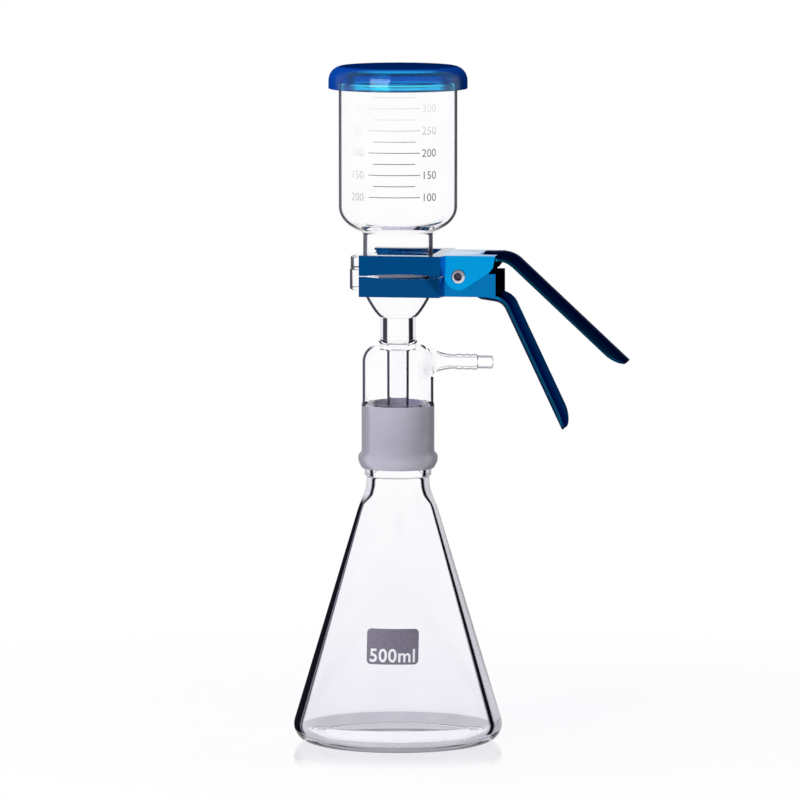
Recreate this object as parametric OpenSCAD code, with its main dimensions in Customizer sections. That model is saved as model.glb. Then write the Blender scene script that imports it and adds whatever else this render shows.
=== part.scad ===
// Glass vacuum filtration unit: conical receiving flask, filter base with a ground
// joint and a hose connection, graduated funnel with a lid, and a sprung clamp that
// presses the two flanges together. Millimetres, +Z up. The origin is on the common
// axis of the glassware, in the plane that the flask stands on. The clamp's handles
// and the hose connection point along +X, and the printed marks face -Y.

/* [Flask] */
// Largest outside diameter of the conical flask
flask_d = 129; // [120:1:140]
// Height of the flask from the table to the rim of its neck
flask_h = 210; // [200:1:240]
// Wall of the blown glass body
flask_wall = 2.3; // [1.8:0.1:3]
// Thickness of the base in its middle
flask_floor = 2.8; // [2:0.1:4]
// Rise of the middle of the base, so that the flask stands on a ring
flask_punt = 1.4; // [0.6:0.1:2.5]
// Outside radius of the corner between the base and the side
flask_corner_r = 10.5; // [9:0.5:18]
// Outside diameter of the waist under the ground joint
waist_d = 39; // [36:0.5:40]
// Height of the short neck, from the end of the cone to the joint
neck_h = 27; // [22:0.5:34]
// Bore of the neck and the mouth
mouth_d = 31; // [27:0.5:31]

/* [Ground joint] */
// Wide end diameter of the ground cone
joint_d = 40; // [39:0.5:42]
// Length of the ground zone
joint_len = 38; // [30:1:42]
// Taper of the joint, as the loss of diameter for each millimetre of length
joint_taper = 0.1; // [0.08:0.01:0.12]
// Gap between the ground faces, measured on the radius
joint_gap = 0.1; // [0.06:0.01:0.1]

/* [Filter base] */
// Outside diameter of the ground socket
socket_d = 45; // [44.5:0.5:48]
// Outside diameter of the bead round the mouth of the socket
bead_d = 49.2; // [47:0.2:54]
// Height of the bead
bead_h = 11; // [8:0.5:14]
// Outside diameter of the clear chamber above the socket
chamber_d = 43.8; // [42:0.2:44.4]
// Wall of the clear chamber
chamber_wall = 2.2; // [1.6:0.1:2.4]
// Height of the clear chamber, with its dome
chamber_h = 37; // [34:1:44]
// Height of the domed top of the chamber
dome_h = 11; // [8:0.5:13]
// Outside diameter of the stem between the chamber and the filter bowl
stem_d = 21.8; // [20:0.2:24]
// Bore of the stem
stem_bore = 14.6; // [12:0.2:16]
// Length of the stem
stem_len = 16.5; // [12:0.5:24]
// Outside diameter of the drip tube inside the chamber
drip_d = 13.4; // [12:0.2:14]
// Bore of the drip tube
drip_bore = 10; // [8:0.2:10.6]
// Length of the drip tube below the dome
drip_len = 70; // [50:1:76]
// Height of the filter bowl between the stem and its flange
bowl_h = 17.5; // [14:0.5:22]
// Outside diameter of the bowl where it meets its flange
bowl_d = 42.4; // [40:0.2:47]
// Wall of the bowl
bowl_wall = 2.6; // [2:0.1:3]

/* [Flanges] */
// Outside diameter of the lower flange
base_flange_d = 59.4; // [57:0.2:60]
// Thickness of the lower flange
base_flange_t = 12.5; // [10:0.5:14]
// Outside diameter of the funnel's flange
funnel_flange_d = 58.4; // [56:0.2:60]
// Thickness of the funnel's flange
funnel_flange_t = 7.8; // [6:0.2:10]
// Bevel on the outer edges of both flanges
flange_bevel = 0.8; // [0.3:0.1:1.5]

/* [Sintered disc] */
// Diameter of the sintered glass disc
frit_d = 40; // [38:0.5:42]
// Thickness of the sintered glass disc
frit_t = 4; // [3:0.5:6]
// Gap round the disc, measured on the radius
frit_gap = 0.05; // [0.02:0.01:0.1]

/* [Hose connection] */
// Distance of the tip of the hose connection from the axis
hose_reach = 59; // [56:0.5:64]
// Height of the hose connection above the top of the ground joint
hose_rise = 26.4; // [25:0.2:28]
// Outside diameter of the plain tip of the hose connection
hose_tip_d = 8; // [7.6:0.1:9]
// Length of the plain tip
hose_tip_len = 9.4; // [8:0.2:11]
// Bore of the hose connection
hose_bore = 5.4; // [4.4:0.2:5.8]
// Outside diameter of the ridges that grip the hose
ridge_d = 9.8; // [9.4:0.2:11]
// Distance from one ridge to the next
ridge_pitch = 4.7; // [4:0.1:5]
// Number of ridges
ridge_count = 3; // [2:1:3]
// Outside diameter of the trumpet where the connection leaves the chamber
root_d = 17; // [15:0.2:18]

/* [Funnel] */
// Outside diameter of the funnel's cup
cup_d = 73; // [70:0.5:78]
// Height of the cup from its bottom to its rim
cup_h = 91.5; // [80:0.5:110]
// Wall of the cup
cup_wall = 2.3; // [1.8:0.1:3]
// Height of the rounded bottom of the cup, up to its straight side
cup_corner_r = 15; // [12:0.5:18]
// Thickness of the bottom of the cup beside its neck
cup_floor = 3; // [2.4:0.1:3.6]
// Outside diameter of the funnel's neck
neck_d = 43; // [42:0.2:44.6]
// Length of the funnel's neck between its flange and the cup
neck_len = 16; // [14:0.2:26]
// Wall of the funnel's neck
neck_wall = 2.4; // [2:0.1:3]

/* [Graduations] */
// Height of the lowest mark above the bottom of the cup
first_mark_h = 22.6; // [21:0.2:26]
// Distance between two numbered marks
mark_step = 13.6; // [12:0.1:14]
// Number of numbered marks
mark_count = 5; // [3:1:5]
// Width across a numbered mark
long_mark_w = 31.5; // [26:0.5:36]
// Width across a mark between two numbers
short_mark_w = 26; // [18:0.5:30]
// Thickness of a printed line
mark_line = 0.55; // [0.4:0.05:0.8]
// Thickness of the enamel print
enamel_t = 0.12; // [0.08:0.02:0.2]
// Turn of the prints towards +X, in degrees
print_turn = 4.5; // [0:0.5:12]

/* [Writing patch] */
// Width of the enamel patch on the flask
patch_w = 31.8; // [26:0.2:36]
// Height of the patch
patch_h = 21.2; // [16:0.2:26]
// Corner radius of the patch
patch_r = 2.6; // [1:0.2:4]
// Height of the middle of the patch above the table
patch_z = 65; // [58:1:74]

/* [Lid] */
// Outside diameter of the lid
lid_d = 85.6; // [82:0.2:92]
// Height of the lid
lid_h = 14; // [12:0.5:18]
// Thickness of the top of the lid
lid_top_t = 2.2; // [1.6:0.1:3]
// Thickness of the lid's skirt
lid_skirt_t = 1.8; // [1.4:0.1:2.4]
// Outside radius of the lid's upper edge
lid_edge_r = 9; // [5:0.5:10]
// Depth of the skirt below the rim of the cup
lid_overlap = 4.2; // [3:0.1:6]
// Gap between the lid's plug and the inside of the cup, on the radius
lid_gap = 0.3; // [0.2:0.05:0.6]
// Thickness of the plug's ring
plug_t = 2; // [1.4:0.1:3]

/* [Clamp] */
// Thickness of the clamp's aluminium sheet
sheet_t = 1.5; // [1.2:0.1:1.8]
// Gap at each side between the lower flange and the inside of the clamp's arms
arms_gap = 1.2; // [0.6:0.1:3]
// Distance that the arms reach past the axis
arms_reach = 19.5; // [14:0.5:24]
// Width across the hinge part of the clamp
hinge_w = 48; // [46.6:0.2:50]
// Depth of the hinge part, from its narrowing to its end
hinge_len = 30.6; // [30:0.2:36]
// Length of the slanted walls between arms and hinge part
taper_len = 2.6; // [2:0.1:8]
// Width of the clamp's throat round the glass
throat_w = 49; // [48:0.2:51]
// Distance from the axis to the closed end of the throat
throat_end = 24.2; // [23.8:0.1:26]
// Distance from the axis to the clamp's pivot
pivot_x = 41; // [40:0.5:44]
// Depth of the turned-in lip round the throat, measured from the outside of the sheet
lip_h = 2.5; // [2:0.1:3]
// Distance that the lip runs past the axis towards the tips
lip_reach = 6.5; // [0:0.5:12]
// Gap between the lips and the glass flanges
grip_gap = 0.05; // [0.02:0.01:0.15]
// Gap between the edges of the two jaws
seam_gap = 0.5; // [0.3:0.1:1]
// Greatest height of the leaf-shaped window between the jaws
leaf_h = 3.1; // [2:0.1:5]
// Radius of the rounded end of the outer ears
ear_r = 8.5; // [7:0.1:9]
// Sideways gap between the ears of the two jaws
ear_gap = 0.2; // [0.1:0.05:0.3]
// Outside radius of the folds of the sheet
fold_r = 2.5; // [2:0.1:4]

/* [Handles] */
// Width of the handles
handle_w = 38; // [34:0.5:41]
// Rise of the handles' arched section
crown_h = 3.5; // [2:0.1:4.5]
// Distance from the pivot to the start of the upper handle's root
upper_root_x = 9.6; // [8:0.1:11]
// Slope of the root of the upper handle, in degrees
upper_rise = 25; // [20:1:30]
// Length of the level part behind the root of the upper handle
upper_level = 9.6; // [7:0.2:12]
// Downward slope of the upper handle, in degrees
upper_slope = 42.8; // [36:0.2:46]
// Bend radius of the upper handle, at its edges
upper_bend_r = 14.5; // [10:0.5:20]
// Straight length of the upper handle
upper_len = 91; // [70:1:100]
// Distance from the pivot to the start of the lower handle's root
lower_root_x = 7.9; // [7:0.1:9]
// Slope of the root of the lower handle, in degrees
lower_rise = 35; // [30:1:38]
// Length of the nearly level part behind the root of the lower handle
lower_level = 8; // [6:0.2:9]
// Downward slope of the lower handle, in degrees
lower_slope = 64.6; // [60:0.2:68]
// Bend radius of the lower handle, at its edges
lower_bend_r = 11; // [9:0.5:14]
// Straight length of the lower handle
lower_len = 82; // [60:1:86]
// Corner radius at the ends of the handles
tip_r = 13; // [8:0.5:16]

/* [Pivot and spring] */
// Diameter of the pivot screw
screw_d = 4; // [3.5:0.1:4.5]
// Running gap between the screw and the ears, on the radius
screw_gap = 0.06; // [0.03:0.01:0.1]
// Diameter of the screw's head
head_d = 8.7; // [7.6:0.1:9.4]
// Height of the screw's head
head_h = 2.6; // [2:0.1:3.2]
// Distance across the flats of the nut
nut_af = 7; // [6.5:0.1:8]
// Height of the nut
nut_h = 3.2; // [2.4:0.1:4]
// Gap under the screw's head and under the nut
face_gap = 0.08; // [0.04:0.01:0.15]
// Wire diameter of the torsion spring
wire_d = 1.6; // [1.2:0.1:1.8]
// Gap between the spring's coil and the screw, on the radius
coil_gap = 0.7; // [0.4:0.1:0.9]
// Number of full turns of the spring
coil_turns = 8; // [6:1:10]
// Length of the spring's two legs
leg_len = 8; // [7:0.5:9]
// Gap between the legs' ends and the plates
leg_gap = 0.2; // [0.1:0.05:0.4]

/* [Hidden] */
$fn = 96;
arc_steps = 10;
reach = 400;
skin = 0.01;

// Flask
flask_r = flask_d / 2;
corner_x = flask_r - flask_corner_r;
waist_r = waist_d / 2;
joint_bottom = flask_h - joint_len - 1;
joint_r = joint_d / 2;
joint_top_r = joint_r - joint_taper * joint_len / 2;
cone_top = joint_bottom - neck_h;
waist_z = joint_bottom - neck_h / 3;
cone_top_r = waist_r + 5.4;
side_slope = atan((flask_r - cone_top_r) / (cone_top - flask_corner_r));
side_x = corner_x + flask_corner_r * cos(side_slope);
side_z = flask_corner_r + flask_corner_r * sin(side_slope);
side_run = (side_x - cone_top_r) / (cone_top - side_z);
foot_r = corner_x - 2;
punt_r = foot_r - 12;
mouth_r = mouth_d / 2;
neck_bulge = 1.1;
bulge_top = joint_bottom - 1.6;
inner_corner_r = flask_corner_r - flask_wall;
inner_floor = flask_punt + flask_floor;

// Filter base
socket_r = socket_d / 2;
bead_r = bead_d / 2;
socket_low = joint_bottom - 0.8;
socket_lip_r = joint_r + joint_gap + 0.9;
chamber_r = chamber_d / 2;
chamber_top = flask_h + chamber_h;
dome_low = chamber_top - dome_h;
weld_h = 3;
weld_r = stem_d / 2 + 1;
stem_top = chamber_top + stem_len;
bowl_top = stem_top + bowl_h;
bowl_r = bowl_d / 2;
flange_low = bowl_top;
joint_face = flange_low + base_flange_t;
flange_top = joint_face + funnel_flange_t;
seat_z = joint_face - frit_t;
frit_r = frit_d / 2;
drip_low = chamber_top - drip_len;
hose_z = flask_h + hose_rise;
hose_r = hose_tip_d / 2;
ridge_r = ridge_d / 2;
ridges_end = hose_reach - hose_tip_len;
ridges_start = ridges_end - ridge_count * ridge_pitch;
root_start = chamber_r - 4;

// Funnel and lid
cup_r = cup_d / 2;
cup_bottom = flange_top + neck_len;
cup_rim = cup_bottom + cup_h;
neck_r = neck_d / 2;
neck_bore_r = neck_r - neck_wall;
lid_r = lid_d / 2;
lid_low = cup_rim - lid_overlap;
lid_top = lid_low + lid_h;
plug_r = cup_r - cup_wall - lid_gap;
seat_w = cup_wall + lid_gap + 1.2;

// Clamp
arms_w = base_flange_d + 2 * (arms_gap + sheet_t);
clamp_top = flange_top + grip_gap + lip_h;
clamp_low = flange_low - grip_gap - lip_h;
pivot_z = (clamp_top + clamp_low) / 2;
taper_end = pivot_x - 8;
taper_start = taper_end - taper_len;
hinge_end = taper_end + hinge_len;
inner_hinge_w = hinge_w - 2 * (sheet_t + ear_gap);
lower_taper_end = pivot_x - ear_r - 2 * ear_gap;
seam_up = pivot_z + seam_gap / 2;
seam_down = pivot_z - seam_gap / 2;
leaf_half = (taper_start + arms_reach) / 2 + 1;
leaf_x = (taper_start - arms_reach) / 2 + 3;
leaf_r = (leaf_half * leaf_half + leaf_h * leaf_h / 4) / leaf_h;
lower_ear_up = 1.3;
crown_r = (handle_w * handle_w / 4 + crown_h * crown_h) / (2 * crown_h);
run_in = 0.4;
bend_extra = 0.05;
root_sink = 0.5;
root_bend_r = 4;
lower_creep = 8.2;
screw_r = screw_d / 2;
hole_r = screw_r + screw_gap;
shank_end = hinge_w / 2 + face_gap + nut_h + 1;
coil_r = screw_r + coil_gap + wire_d / 2;
coil_pitch = wire_d * 1.06;
coil_half = coil_turns * coil_pitch / 2 + coil_pitch / 4;
leg_top = clamp_top - sheet_t - leg_gap - wire_d / 2 - pivot_z;
wire_sides = 8;
turn_steps = 14;

// Points of an arc about a centre, from one angle to another
function arc(cx, cy, r, a0, a1, n = arc_steps) =
    [for (i = [0:n]) let (a = a0 + (a1 - a0) * i / n) [cx + r * cos(a), cy + r * sin(a)]];

// Points of a smooth curve between p0 and p3 that p1 and p2 pull on
function curve(p0, p1, p2, p3, n = arc_steps) =
    [for (i = [0:n]) let (t = i / n, u = 1 - t)
        u * u * u * p0 + 3 * u * u * t * p1 + 3 * u * t * t * p2 + t * t * t * p3];

// Radius of the flask's straight side at a height, outside the glass
function side_r(z) = side_x - side_run * (z - side_z);

// A ring or tube about the Z axis, from its section's points
module turned(points) {
    rotate_extrude() polygon(points);
}

// A profile turned about an axis through [0, 0, z] along +X
module turned_along_x(points, z) {
    translate([0, 0, z]) rotate([0, 90, 0]) rotate_extrude() polygon(points);
}

// Solid cylinder along Y through the clamp's pivot
module cross_bar(r, y0, y1) {
    translate([pivot_x, y0, pivot_z]) rotate([-90, 0, 0]) cylinder(h = y1 - y0, r = r);
}

module flask() {
    inner_x = corner_x;
    inner_side_x = side_x - flask_wall;
    outside = concat(
        [[0, flask_punt], [punt_r, flask_punt], [punt_r + 6, 0], [foot_r, 0]],
        arc(corner_x, flask_corner_r, flask_corner_r, -90, side_slope),
        curve([cone_top_r, cone_top], [cone_top_r - 2.6, cone_top + 8],
            [waist_r, waist_z - 7], [waist_r, waist_z]),
        curve([waist_r, waist_z], [waist_r, waist_z + 2.5],
            [joint_r - neck_bulge, bulge_top - 4], [joint_r + 0.6, bulge_top - 3.6], 4),
        [[joint_r + 0.6, bulge_top], [joint_r, joint_bottom]],
        [[joint_top_r, joint_bottom + joint_len]],
        arc(joint_top_r - 1, flask_h - 1, 1, 0, 90, 4)
    );
    inside = concat(
        arc(mouth_r + 1, flask_h - 1, 1, 90, 180, 4),
        [[mouth_r, waist_z + 3]],
        curve([mouth_r, waist_z + 3], [mouth_r, waist_z - 6],
            [cone_top_r - flask_wall - 2.2, cone_top + 8], [cone_top_r - flask_wall, cone_top]),
        arc(inner_x, inner_floor + inner_corner_r, inner_corner_r, side_slope, -90),
        [[0, inner_floor]]
    );
    color([0.93, 0.95, 0.98, 0.35]) turned(concat(outside, inside));
}

// Enamel patch that lies on the slanted side of the flask
module flask_patch() {
    half_w = patch_w / 2;
    half_h = patch_h / 2;
    low = patch_z - patch_h;
    high = patch_z + patch_h;
    color([0.51, 0.48, 0.54]) rotate([0, 0, print_turn]) intersection() {
        turned([
            [side_r(low) + skin, low], [side_r(low) + enamel_t, low],
            [side_r(high) + enamel_t, high], [side_r(high) + skin, high]
        ]);
        translate([0, 0, patch_z]) rotate([90, 0, 0]) linear_extrude(flask_d) union() {
            translate([-half_w + patch_r, -half_h]) square([patch_w - 2 * patch_r, patch_h]);
            translate([-half_w, -half_h + patch_r]) square([patch_w, patch_h - 2 * patch_r]);
            for (x = [-1, 1], y = [-1, 1])
                translate([x * (half_w - patch_r), y * (half_h - patch_r)]) circle(patch_r);
        }
    }
}

// Outside of the fused glass base, from the socket's mouth to its flange
module base_outside() {
    turned(concat(
        [[0, socket_low], [socket_lip_r, socket_low]],
        curve([joint_r + 2.2, socket_low], [bead_r - 0.6, socket_low + bead_h * 0.24],
            [bead_r, socket_low + bead_h * 0.35], [bead_r, socket_low + bead_h * 0.62], 6),
        curve([bead_r, socket_low + bead_h * 0.62], [bead_r, socket_low + bead_h * 0.85],
            [socket_r, socket_low + bead_h * 0.8], [socket_r, socket_low + bead_h], 6),
        [[socket_r, flask_h - 1], [chamber_r, flask_h + 1]],
        curve([chamber_r, dome_low], [chamber_r, dome_low + dome_h * 0.6],
            [chamber_r - 5.5, chamber_top - 0.4], [weld_r, chamber_top]),
        arc(weld_r - weld_h / 2, chamber_top + weld_h / 2, weld_h / 2, -70, 70, 6),
        [[stem_d / 2, chamber_top + weld_h], [stem_d / 2, stem_top]],
        curve([stem_d / 2, stem_top], [stem_d / 2 + 2.4, stem_top + 0.6],
            [bowl_r, stem_top + bowl_h * 0.77], [bowl_r, bowl_top]),
        [[base_flange_d / 2 - flange_bevel, flange_low]],
        [[base_flange_d / 2, flange_low + flange_bevel]],
        [[base_flange_d / 2, joint_face - flange_bevel]],
        [[base_flange_d / 2 - flange_bevel, joint_face], [0, joint_face]]
    ));
}

// Spaces inside the base: disc seat, bowl, stem, drip tube, chamber and socket
module base_inside() {
    bowl_in = bowl_r - bowl_wall;
    top_r = joint_top_r + joint_gap;
    turned(concat(
        [[0, drip_low - 1], [drip_bore / 2, drip_low - 1], [drip_bore / 2, chamber_top - 1]],
        [[stem_bore / 2, chamber_top + weld_h], [stem_bore / 2, stem_top - 1]],
        curve([stem_bore / 2, stem_top - 1], [stem_bore / 2 + 2.5, stem_top + 2.3],
            [bowl_in - 1.2, stem_top + bowl_h * 0.52], [bowl_in - 0.8, bowl_top]),
        [[bowl_in - 0.8, seat_z], [frit_r + frit_gap, seat_z]],
        [[frit_r + frit_gap, joint_face + 1], [0, joint_face + 1]]
    ));
    turned(concat(
        [[drip_d / 2, socket_low - 1], [socket_lip_r, socket_low - 1], [socket_lip_r, socket_low]],
        [[joint_r + joint_gap, joint_bottom + 0.2], [top_r, joint_bottom + joint_len]],
        [[top_r, flask_h + 1], [chamber_r - chamber_wall, flask_h + 4]],
        curve([chamber_r - chamber_wall, dome_low],
            [chamber_r - chamber_wall, dome_low + dome_h * 0.5],
            [chamber_r - 7.4, chamber_top - 2.6], [drip_d / 2, chamber_top - 2.6])
    ));
}

// Cuts the glass back under the drip tube, which ends above the socket's mouth
module below_drip() {
    translate([0, 0, socket_low - 2])
        cylinder(h = drip_low - socket_low + 2, r = drip_d / 2 + 1);
}

// Points of the ridged part of the hose connection, from the trumpet to the tip
function ridges() = [
    for (i = [0:ridge_count - 1], k = [0:2])
        let (x = ridges_start + i * ridge_pitch, waist = hose_r + 0.45)
        k == 0 ? [waist, x] : k == 1 ? [ridge_r, x + ridge_pitch * 0.55]
            : [ridge_r - 0.15, x + ridge_pitch * 0.8]
];

module hose_outside() {
    turned_along_x(concat(
        [[0, root_start], [root_d / 2, root_start], [root_d / 2, chamber_r - 1]],
        curve([root_d / 2, chamber_r - 1], [root_d / 2 - 2.6, chamber_r + 2],
            [hose_r + 0.5, ridges_start - 5], [hose_r + 0.45, ridges_start - 1], 8),
        ridges(),
        [[hose_r, ridges_end], [hose_r, hose_reach - 0.6], [hose_r - 0.6, hose_reach]],
        [[0, hose_reach]]
    ), hose_z);
}

module hose_inside() {
    inner_r = hose_bore / 2;
    turned_along_x(concat(
        [[0, drip_d / 2 + 2], [root_d / 2 - 2.4, drip_d / 2 + 2]],
        curve([root_d / 2 - 2.4, chamber_r - 2], [root_d / 2 - 4, chamber_r + 3],
            [inner_r, ridges_start - 8], [inner_r, ridges_start - 3], 8),
        [[inner_r, hose_reach + 1], [0, hose_reach + 1]]
    ), hose_z);
}

module filter_base() {
    color([0.93, 0.95, 0.98, 0.35]) difference() {
        union() {
            base_outside();
            hose_outside();
        }
        base_inside();
        hose_inside();
        below_drip();
    }
}

module frit_disc() {
    color([0.96, 0.96, 0.97]) translate([0, 0, seat_z]) cylinder(h = frit_t, r = frit_r);
}

module funnel() {
    flange_r = funnel_flange_d / 2;
    inner_r = cup_r - cup_wall;
    floor_z = cup_bottom + cup_floor;
    color([0.93, 0.95, 0.98, 0.35]) turned(concat(
        [[neck_bore_r, joint_face], [flange_r - flange_bevel, joint_face]],
        [[flange_r, joint_face + flange_bevel], [flange_r, flange_top - flange_bevel]],
        [[flange_r - flange_bevel, flange_top], [neck_r + 1.2, flange_top]],
        [[neck_r, flange_top + 1.6]],
        curve([neck_r, cup_bottom - 2.8], [neck_r, cup_bottom - 1.4],
            [neck_r + 1.2, cup_bottom - 1], [neck_r + 3.6, cup_bottom + 0.1], 5),
        curve([neck_r + 3.6, cup_bottom + 0.1], [cup_r - cup_corner_r * 0.3, cup_bottom + 3.7],
            [cup_r, cup_bottom + cup_corner_r * 0.55], [cup_r, cup_bottom + cup_corner_r]),
        arc(cup_r - 1, cup_rim - 1, 1, 0, 90, 4),
        arc(inner_r + 1, cup_rim - 1, 1, 90, 180, 4),
        curve([inner_r, cup_bottom + cup_corner_r], [inner_r, cup_bottom + cup_corner_r * 0.6],
            [inner_r - cup_corner_r * 0.26, floor_z + 2.3], [neck_bore_r + 2.6, floor_z]),
        curve([neck_bore_r + 2.6, floor_z], [neck_bore_r + 1, floor_z - 0.4],
            [neck_bore_r, floor_z - 0.9], [neck_bore_r, floor_z - 2.4], 5)
    ));
}

// One printed line across the front of the cup
module mark(z, w) {
    intersection() {
        translate([0, 0, z - mark_line / 2]) difference() {
            cylinder(h = mark_line, r = cup_r + enamel_t);
            translate([0, 0, -1]) cylinder(h = mark_line + 2, r = cup_r + skin);
        }
        translate([-w / 2, -cup_d, z - mark_line]) cube([w, cup_d, 2 * mark_line]);
    }
}

module funnel_scale() {
    color([0.55, 0.55, 0.6]) rotate([0, 0, print_turn]) for (i = [0:mark_count - 1]) {
        z = cup_bottom + first_mark_h + i * mark_step;
        mark(z, long_mark_w);
        mark(z + mark_step / 2, short_mark_w);
    }
}

module lid() {
    skirt_in = lid_r - lid_skirt_t;
    under = lid_top - lid_top_t;
    edge_in = lid_edge_r - lid_top_t;
    seat_r = plug_r + seat_w;
    seat_turn = acos((seat_r - skirt_in + edge_in) / edge_in);
    color([0.0, 0.3, 0.72, 0.85]) turned(concat(
        [[0, lid_top], [0, under], [plug_r - plug_t, under]],
        [[plug_r - plug_t, lid_low + 1], [plug_r - 0.6, lid_low + 1], [plug_r, lid_low + 1.6]],
        [[plug_r, cup_rim], [seat_r, cup_rim]],
        arc(skirt_in - edge_in, under - edge_in, edge_in, seat_turn, 0, 6),
        [[skirt_in, lid_low + 0.5], [skirt_in + 0.5, lid_low], [lid_r - 0.5, lid_low]],
        [[lid_r, lid_low + 0.5]],
        arc(lid_r - lid_edge_r, lid_top - lid_edge_r, lid_edge_r, 0, 90)
    ));
}

// Plan of a jaw: wide arms, slanted walls, and a hinge part that starts at narrow_x.
// inset draws its inside.
module jaw_plan(back_w, narrow_x, inset = 0) {
    a = arms_w / 2 - inset;
    b = back_w / 2 - inset;
    slope_shift = inset * tan(atan((a - b) / (narrow_x - taper_start)) / 2);
    tip = -arms_reach - (inset > 0 ? 1 : 0);
    end = hinge_end + (inset > 0 ? 1 : 0);
    polygon([
        [tip, -a], [taper_start - slope_shift, -a], [narrow_x - slope_shift, -b], [end, -b],
        [end, b], [narrow_x - slope_shift, b], [taper_start - slope_shift, a], [tip, a]
    ]);
}

// Plan of the throat, open towards the tips. grow moves its edge outwards.
module throat_plan(grow = 0) {
    half = throat_w / 2 + grow;
    end = throat_end + grow;
    r = 4 + grow;
    translate([-reach, -half]) square([reach + end - r, 2 * half]);
    translate([-reach, -half + r]) square([reach + end, 2 * half - 2 * r]);
    for (y = [-1, 1]) translate([end - r, y * (half - r)]) circle(r);
}

// A folded sheet jaw: a plate with side walls below it, and a lip round its throat.
// It is drawn as the upper jaw; height is the depth of its walls under the plate's face.
module jaw_sheet(back_w, narrow_x, height) {
    difference() {
        translate([0, 0, -height]) linear_extrude(height) jaw_plan(back_w, narrow_x);
        translate([0, 0, -height - 1]) linear_extrude(height + 1 - sheet_t)
            jaw_plan(back_w, narrow_x, sheet_t);
        translate([0, 0, -sheet_t - 1]) linear_extrude(sheet_t + 2) throat_plan();
    }
    intersection() {
        translate([0, 0, -lip_h]) linear_extrude(lip_h) difference() {
            throat_plan(sheet_t);
            throat_plan();
        }
        translate([-lip_reach, -arms_w / 2, -lip_h]) cube([reach, arms_w, lip_h]);
    }
}

// Arched section of a handle: width along X, outer face upwards, its edges at zero.
// extra makes the section thicker and wider all round, spare makes it wider only.
module crown_section(extra = 0, spare = 0) {
    w = handle_w + 2 * extra + 2 * spare;
    intersection() {
        translate([-w / 2, -3 * sheet_t]) square([w, crown_h + 4 * sheet_t]);
        translate([0, crown_h - crown_r]) difference() {
            circle(crown_r + extra, $fn = 360);
            circle(crown_r - sheet_t - extra, $fn = 360);
        }
    }
}

// A straight length of handle along +X that also reaches a little way behind zero
module straight_strip(length, spare = 0) {
    translate([-run_in, 0, 0]) rotate([0, 90, 0])
        linear_extrude(length + run_in) rotate(90) crown_section(0, spare);
}

// A bend of the handle that starts along +X. A positive turn is upwards.
// Its sheet is a hair thicker than that of the straight lengths that run into it.
module strip_bend(turn, r) {
    side = turn < 0 ? 1 : -1;
    translate([0, 0, -side * r]) rotate([90, 0, 0]) rotate([0, 0, min(side * 90 + turn, side * 90)])
        rotate_extrude(angle = abs(turn)) translate([r, 0]) rotate(-side * 90)
            crown_section(bend_extra);
}

// Plan of the free end of a handle, with rounded corners
module tip_plan(length) {
    half = handle_w / 2;
    translate([-1, -half]) square([length + 1 - tip_r, handle_w]);
    translate([-1, -half + tip_r]) square([length + 1, handle_w - 2 * tip_r]);
    for (y = [-1, 1]) translate([length - tip_r, y * (half - tip_r)]) circle(tip_r);
}

// A handle along +X. moves gives a length, a turn and a bend radius for each bend,
// and last the straight length up to the free end.
module handle(moves, k = 0) {
    length = moves[k][0];
    turn = moves[k][1];
    r = moves[k][2];
    if (k < len(moves) - 1) {
        straight_strip(length + run_in);
        translate([length, 0, 0]) {
            strip_bend(turn, r);
            translate([r * sin(abs(turn)), 0, sign(turn) * r * (1 - cos(turn))])
                rotate([0, -turn, 0]) handle(moves, k + 1);
        }
    } else intersection() {
        straight_strip(length + 1, 1);
        translate([0, 0, -reach / 4]) linear_extrude(reach / 2) tip_plan(length);
    }
}

// Places the start of a handle's root, whose crown lies just under the plate's face.
// The plate's outer face is at zero and faces up.
module root_start_at(x, rise) {
    translate([pivot_x + x, 0, -root_sink - crown_h * cos(rise)]) rotate([0, -rise, 0])
        children();
}

// Plan of the opening in the lower plate, where the sheet is drawn out to the handle
module root_opening() {
    half = handle_w / 2;
    x = pivot_x + lower_root_x;
    polygon([
        [x + 0.7, -half * 0.26], [x + 3.1, -half * 0.71], [x + 9.1, -half * 0.885],
        [hinge_end + 1, -half - 0.4], [hinge_end + 1, half + 0.4],
        [x + 9.1, half * 0.885], [x + 3.1, half * 0.71], [x + 0.7, half * 0.26]
    ]);
}

// Leaf-shaped window between the walls of the two jaws
module leaf_window() {
    translate([leaf_x, arms_w, pivot_z]) rotate([90, 0, 0]) linear_extrude(2 * arms_w)
        intersection() {
            translate([0, leaf_h / 2 - leaf_r]) circle(leaf_r, $fn = 360);
            translate([0, leaf_r - leaf_h / 2]) circle(leaf_r, $fn = 360);
        }
}

// Outline of an outer ear about the pivot, in X and Z
module ear_outline() {
    up = clamp_top - pivot_z;
    back = hinge_end - pivot_x;
    slant = 34;
    circle(ear_r);
    polygon([
        [taper_end - pivot_x - 0.5, up], [taper_end - pivot_x - 0.5, seam_gap / 2],
        [-ear_r * cos(14), -ear_r * sin(14)], [0, 0],
        [ear_r * sin(slant), -ear_r * cos(slant)],
        [back - 3.8, -ear_r * cos(slant) + (back - 3.8 - ear_r * sin(slant)) * tan(slant)],
        [back - 1.4, 5.4], [back, up]
    ]);
}

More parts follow.
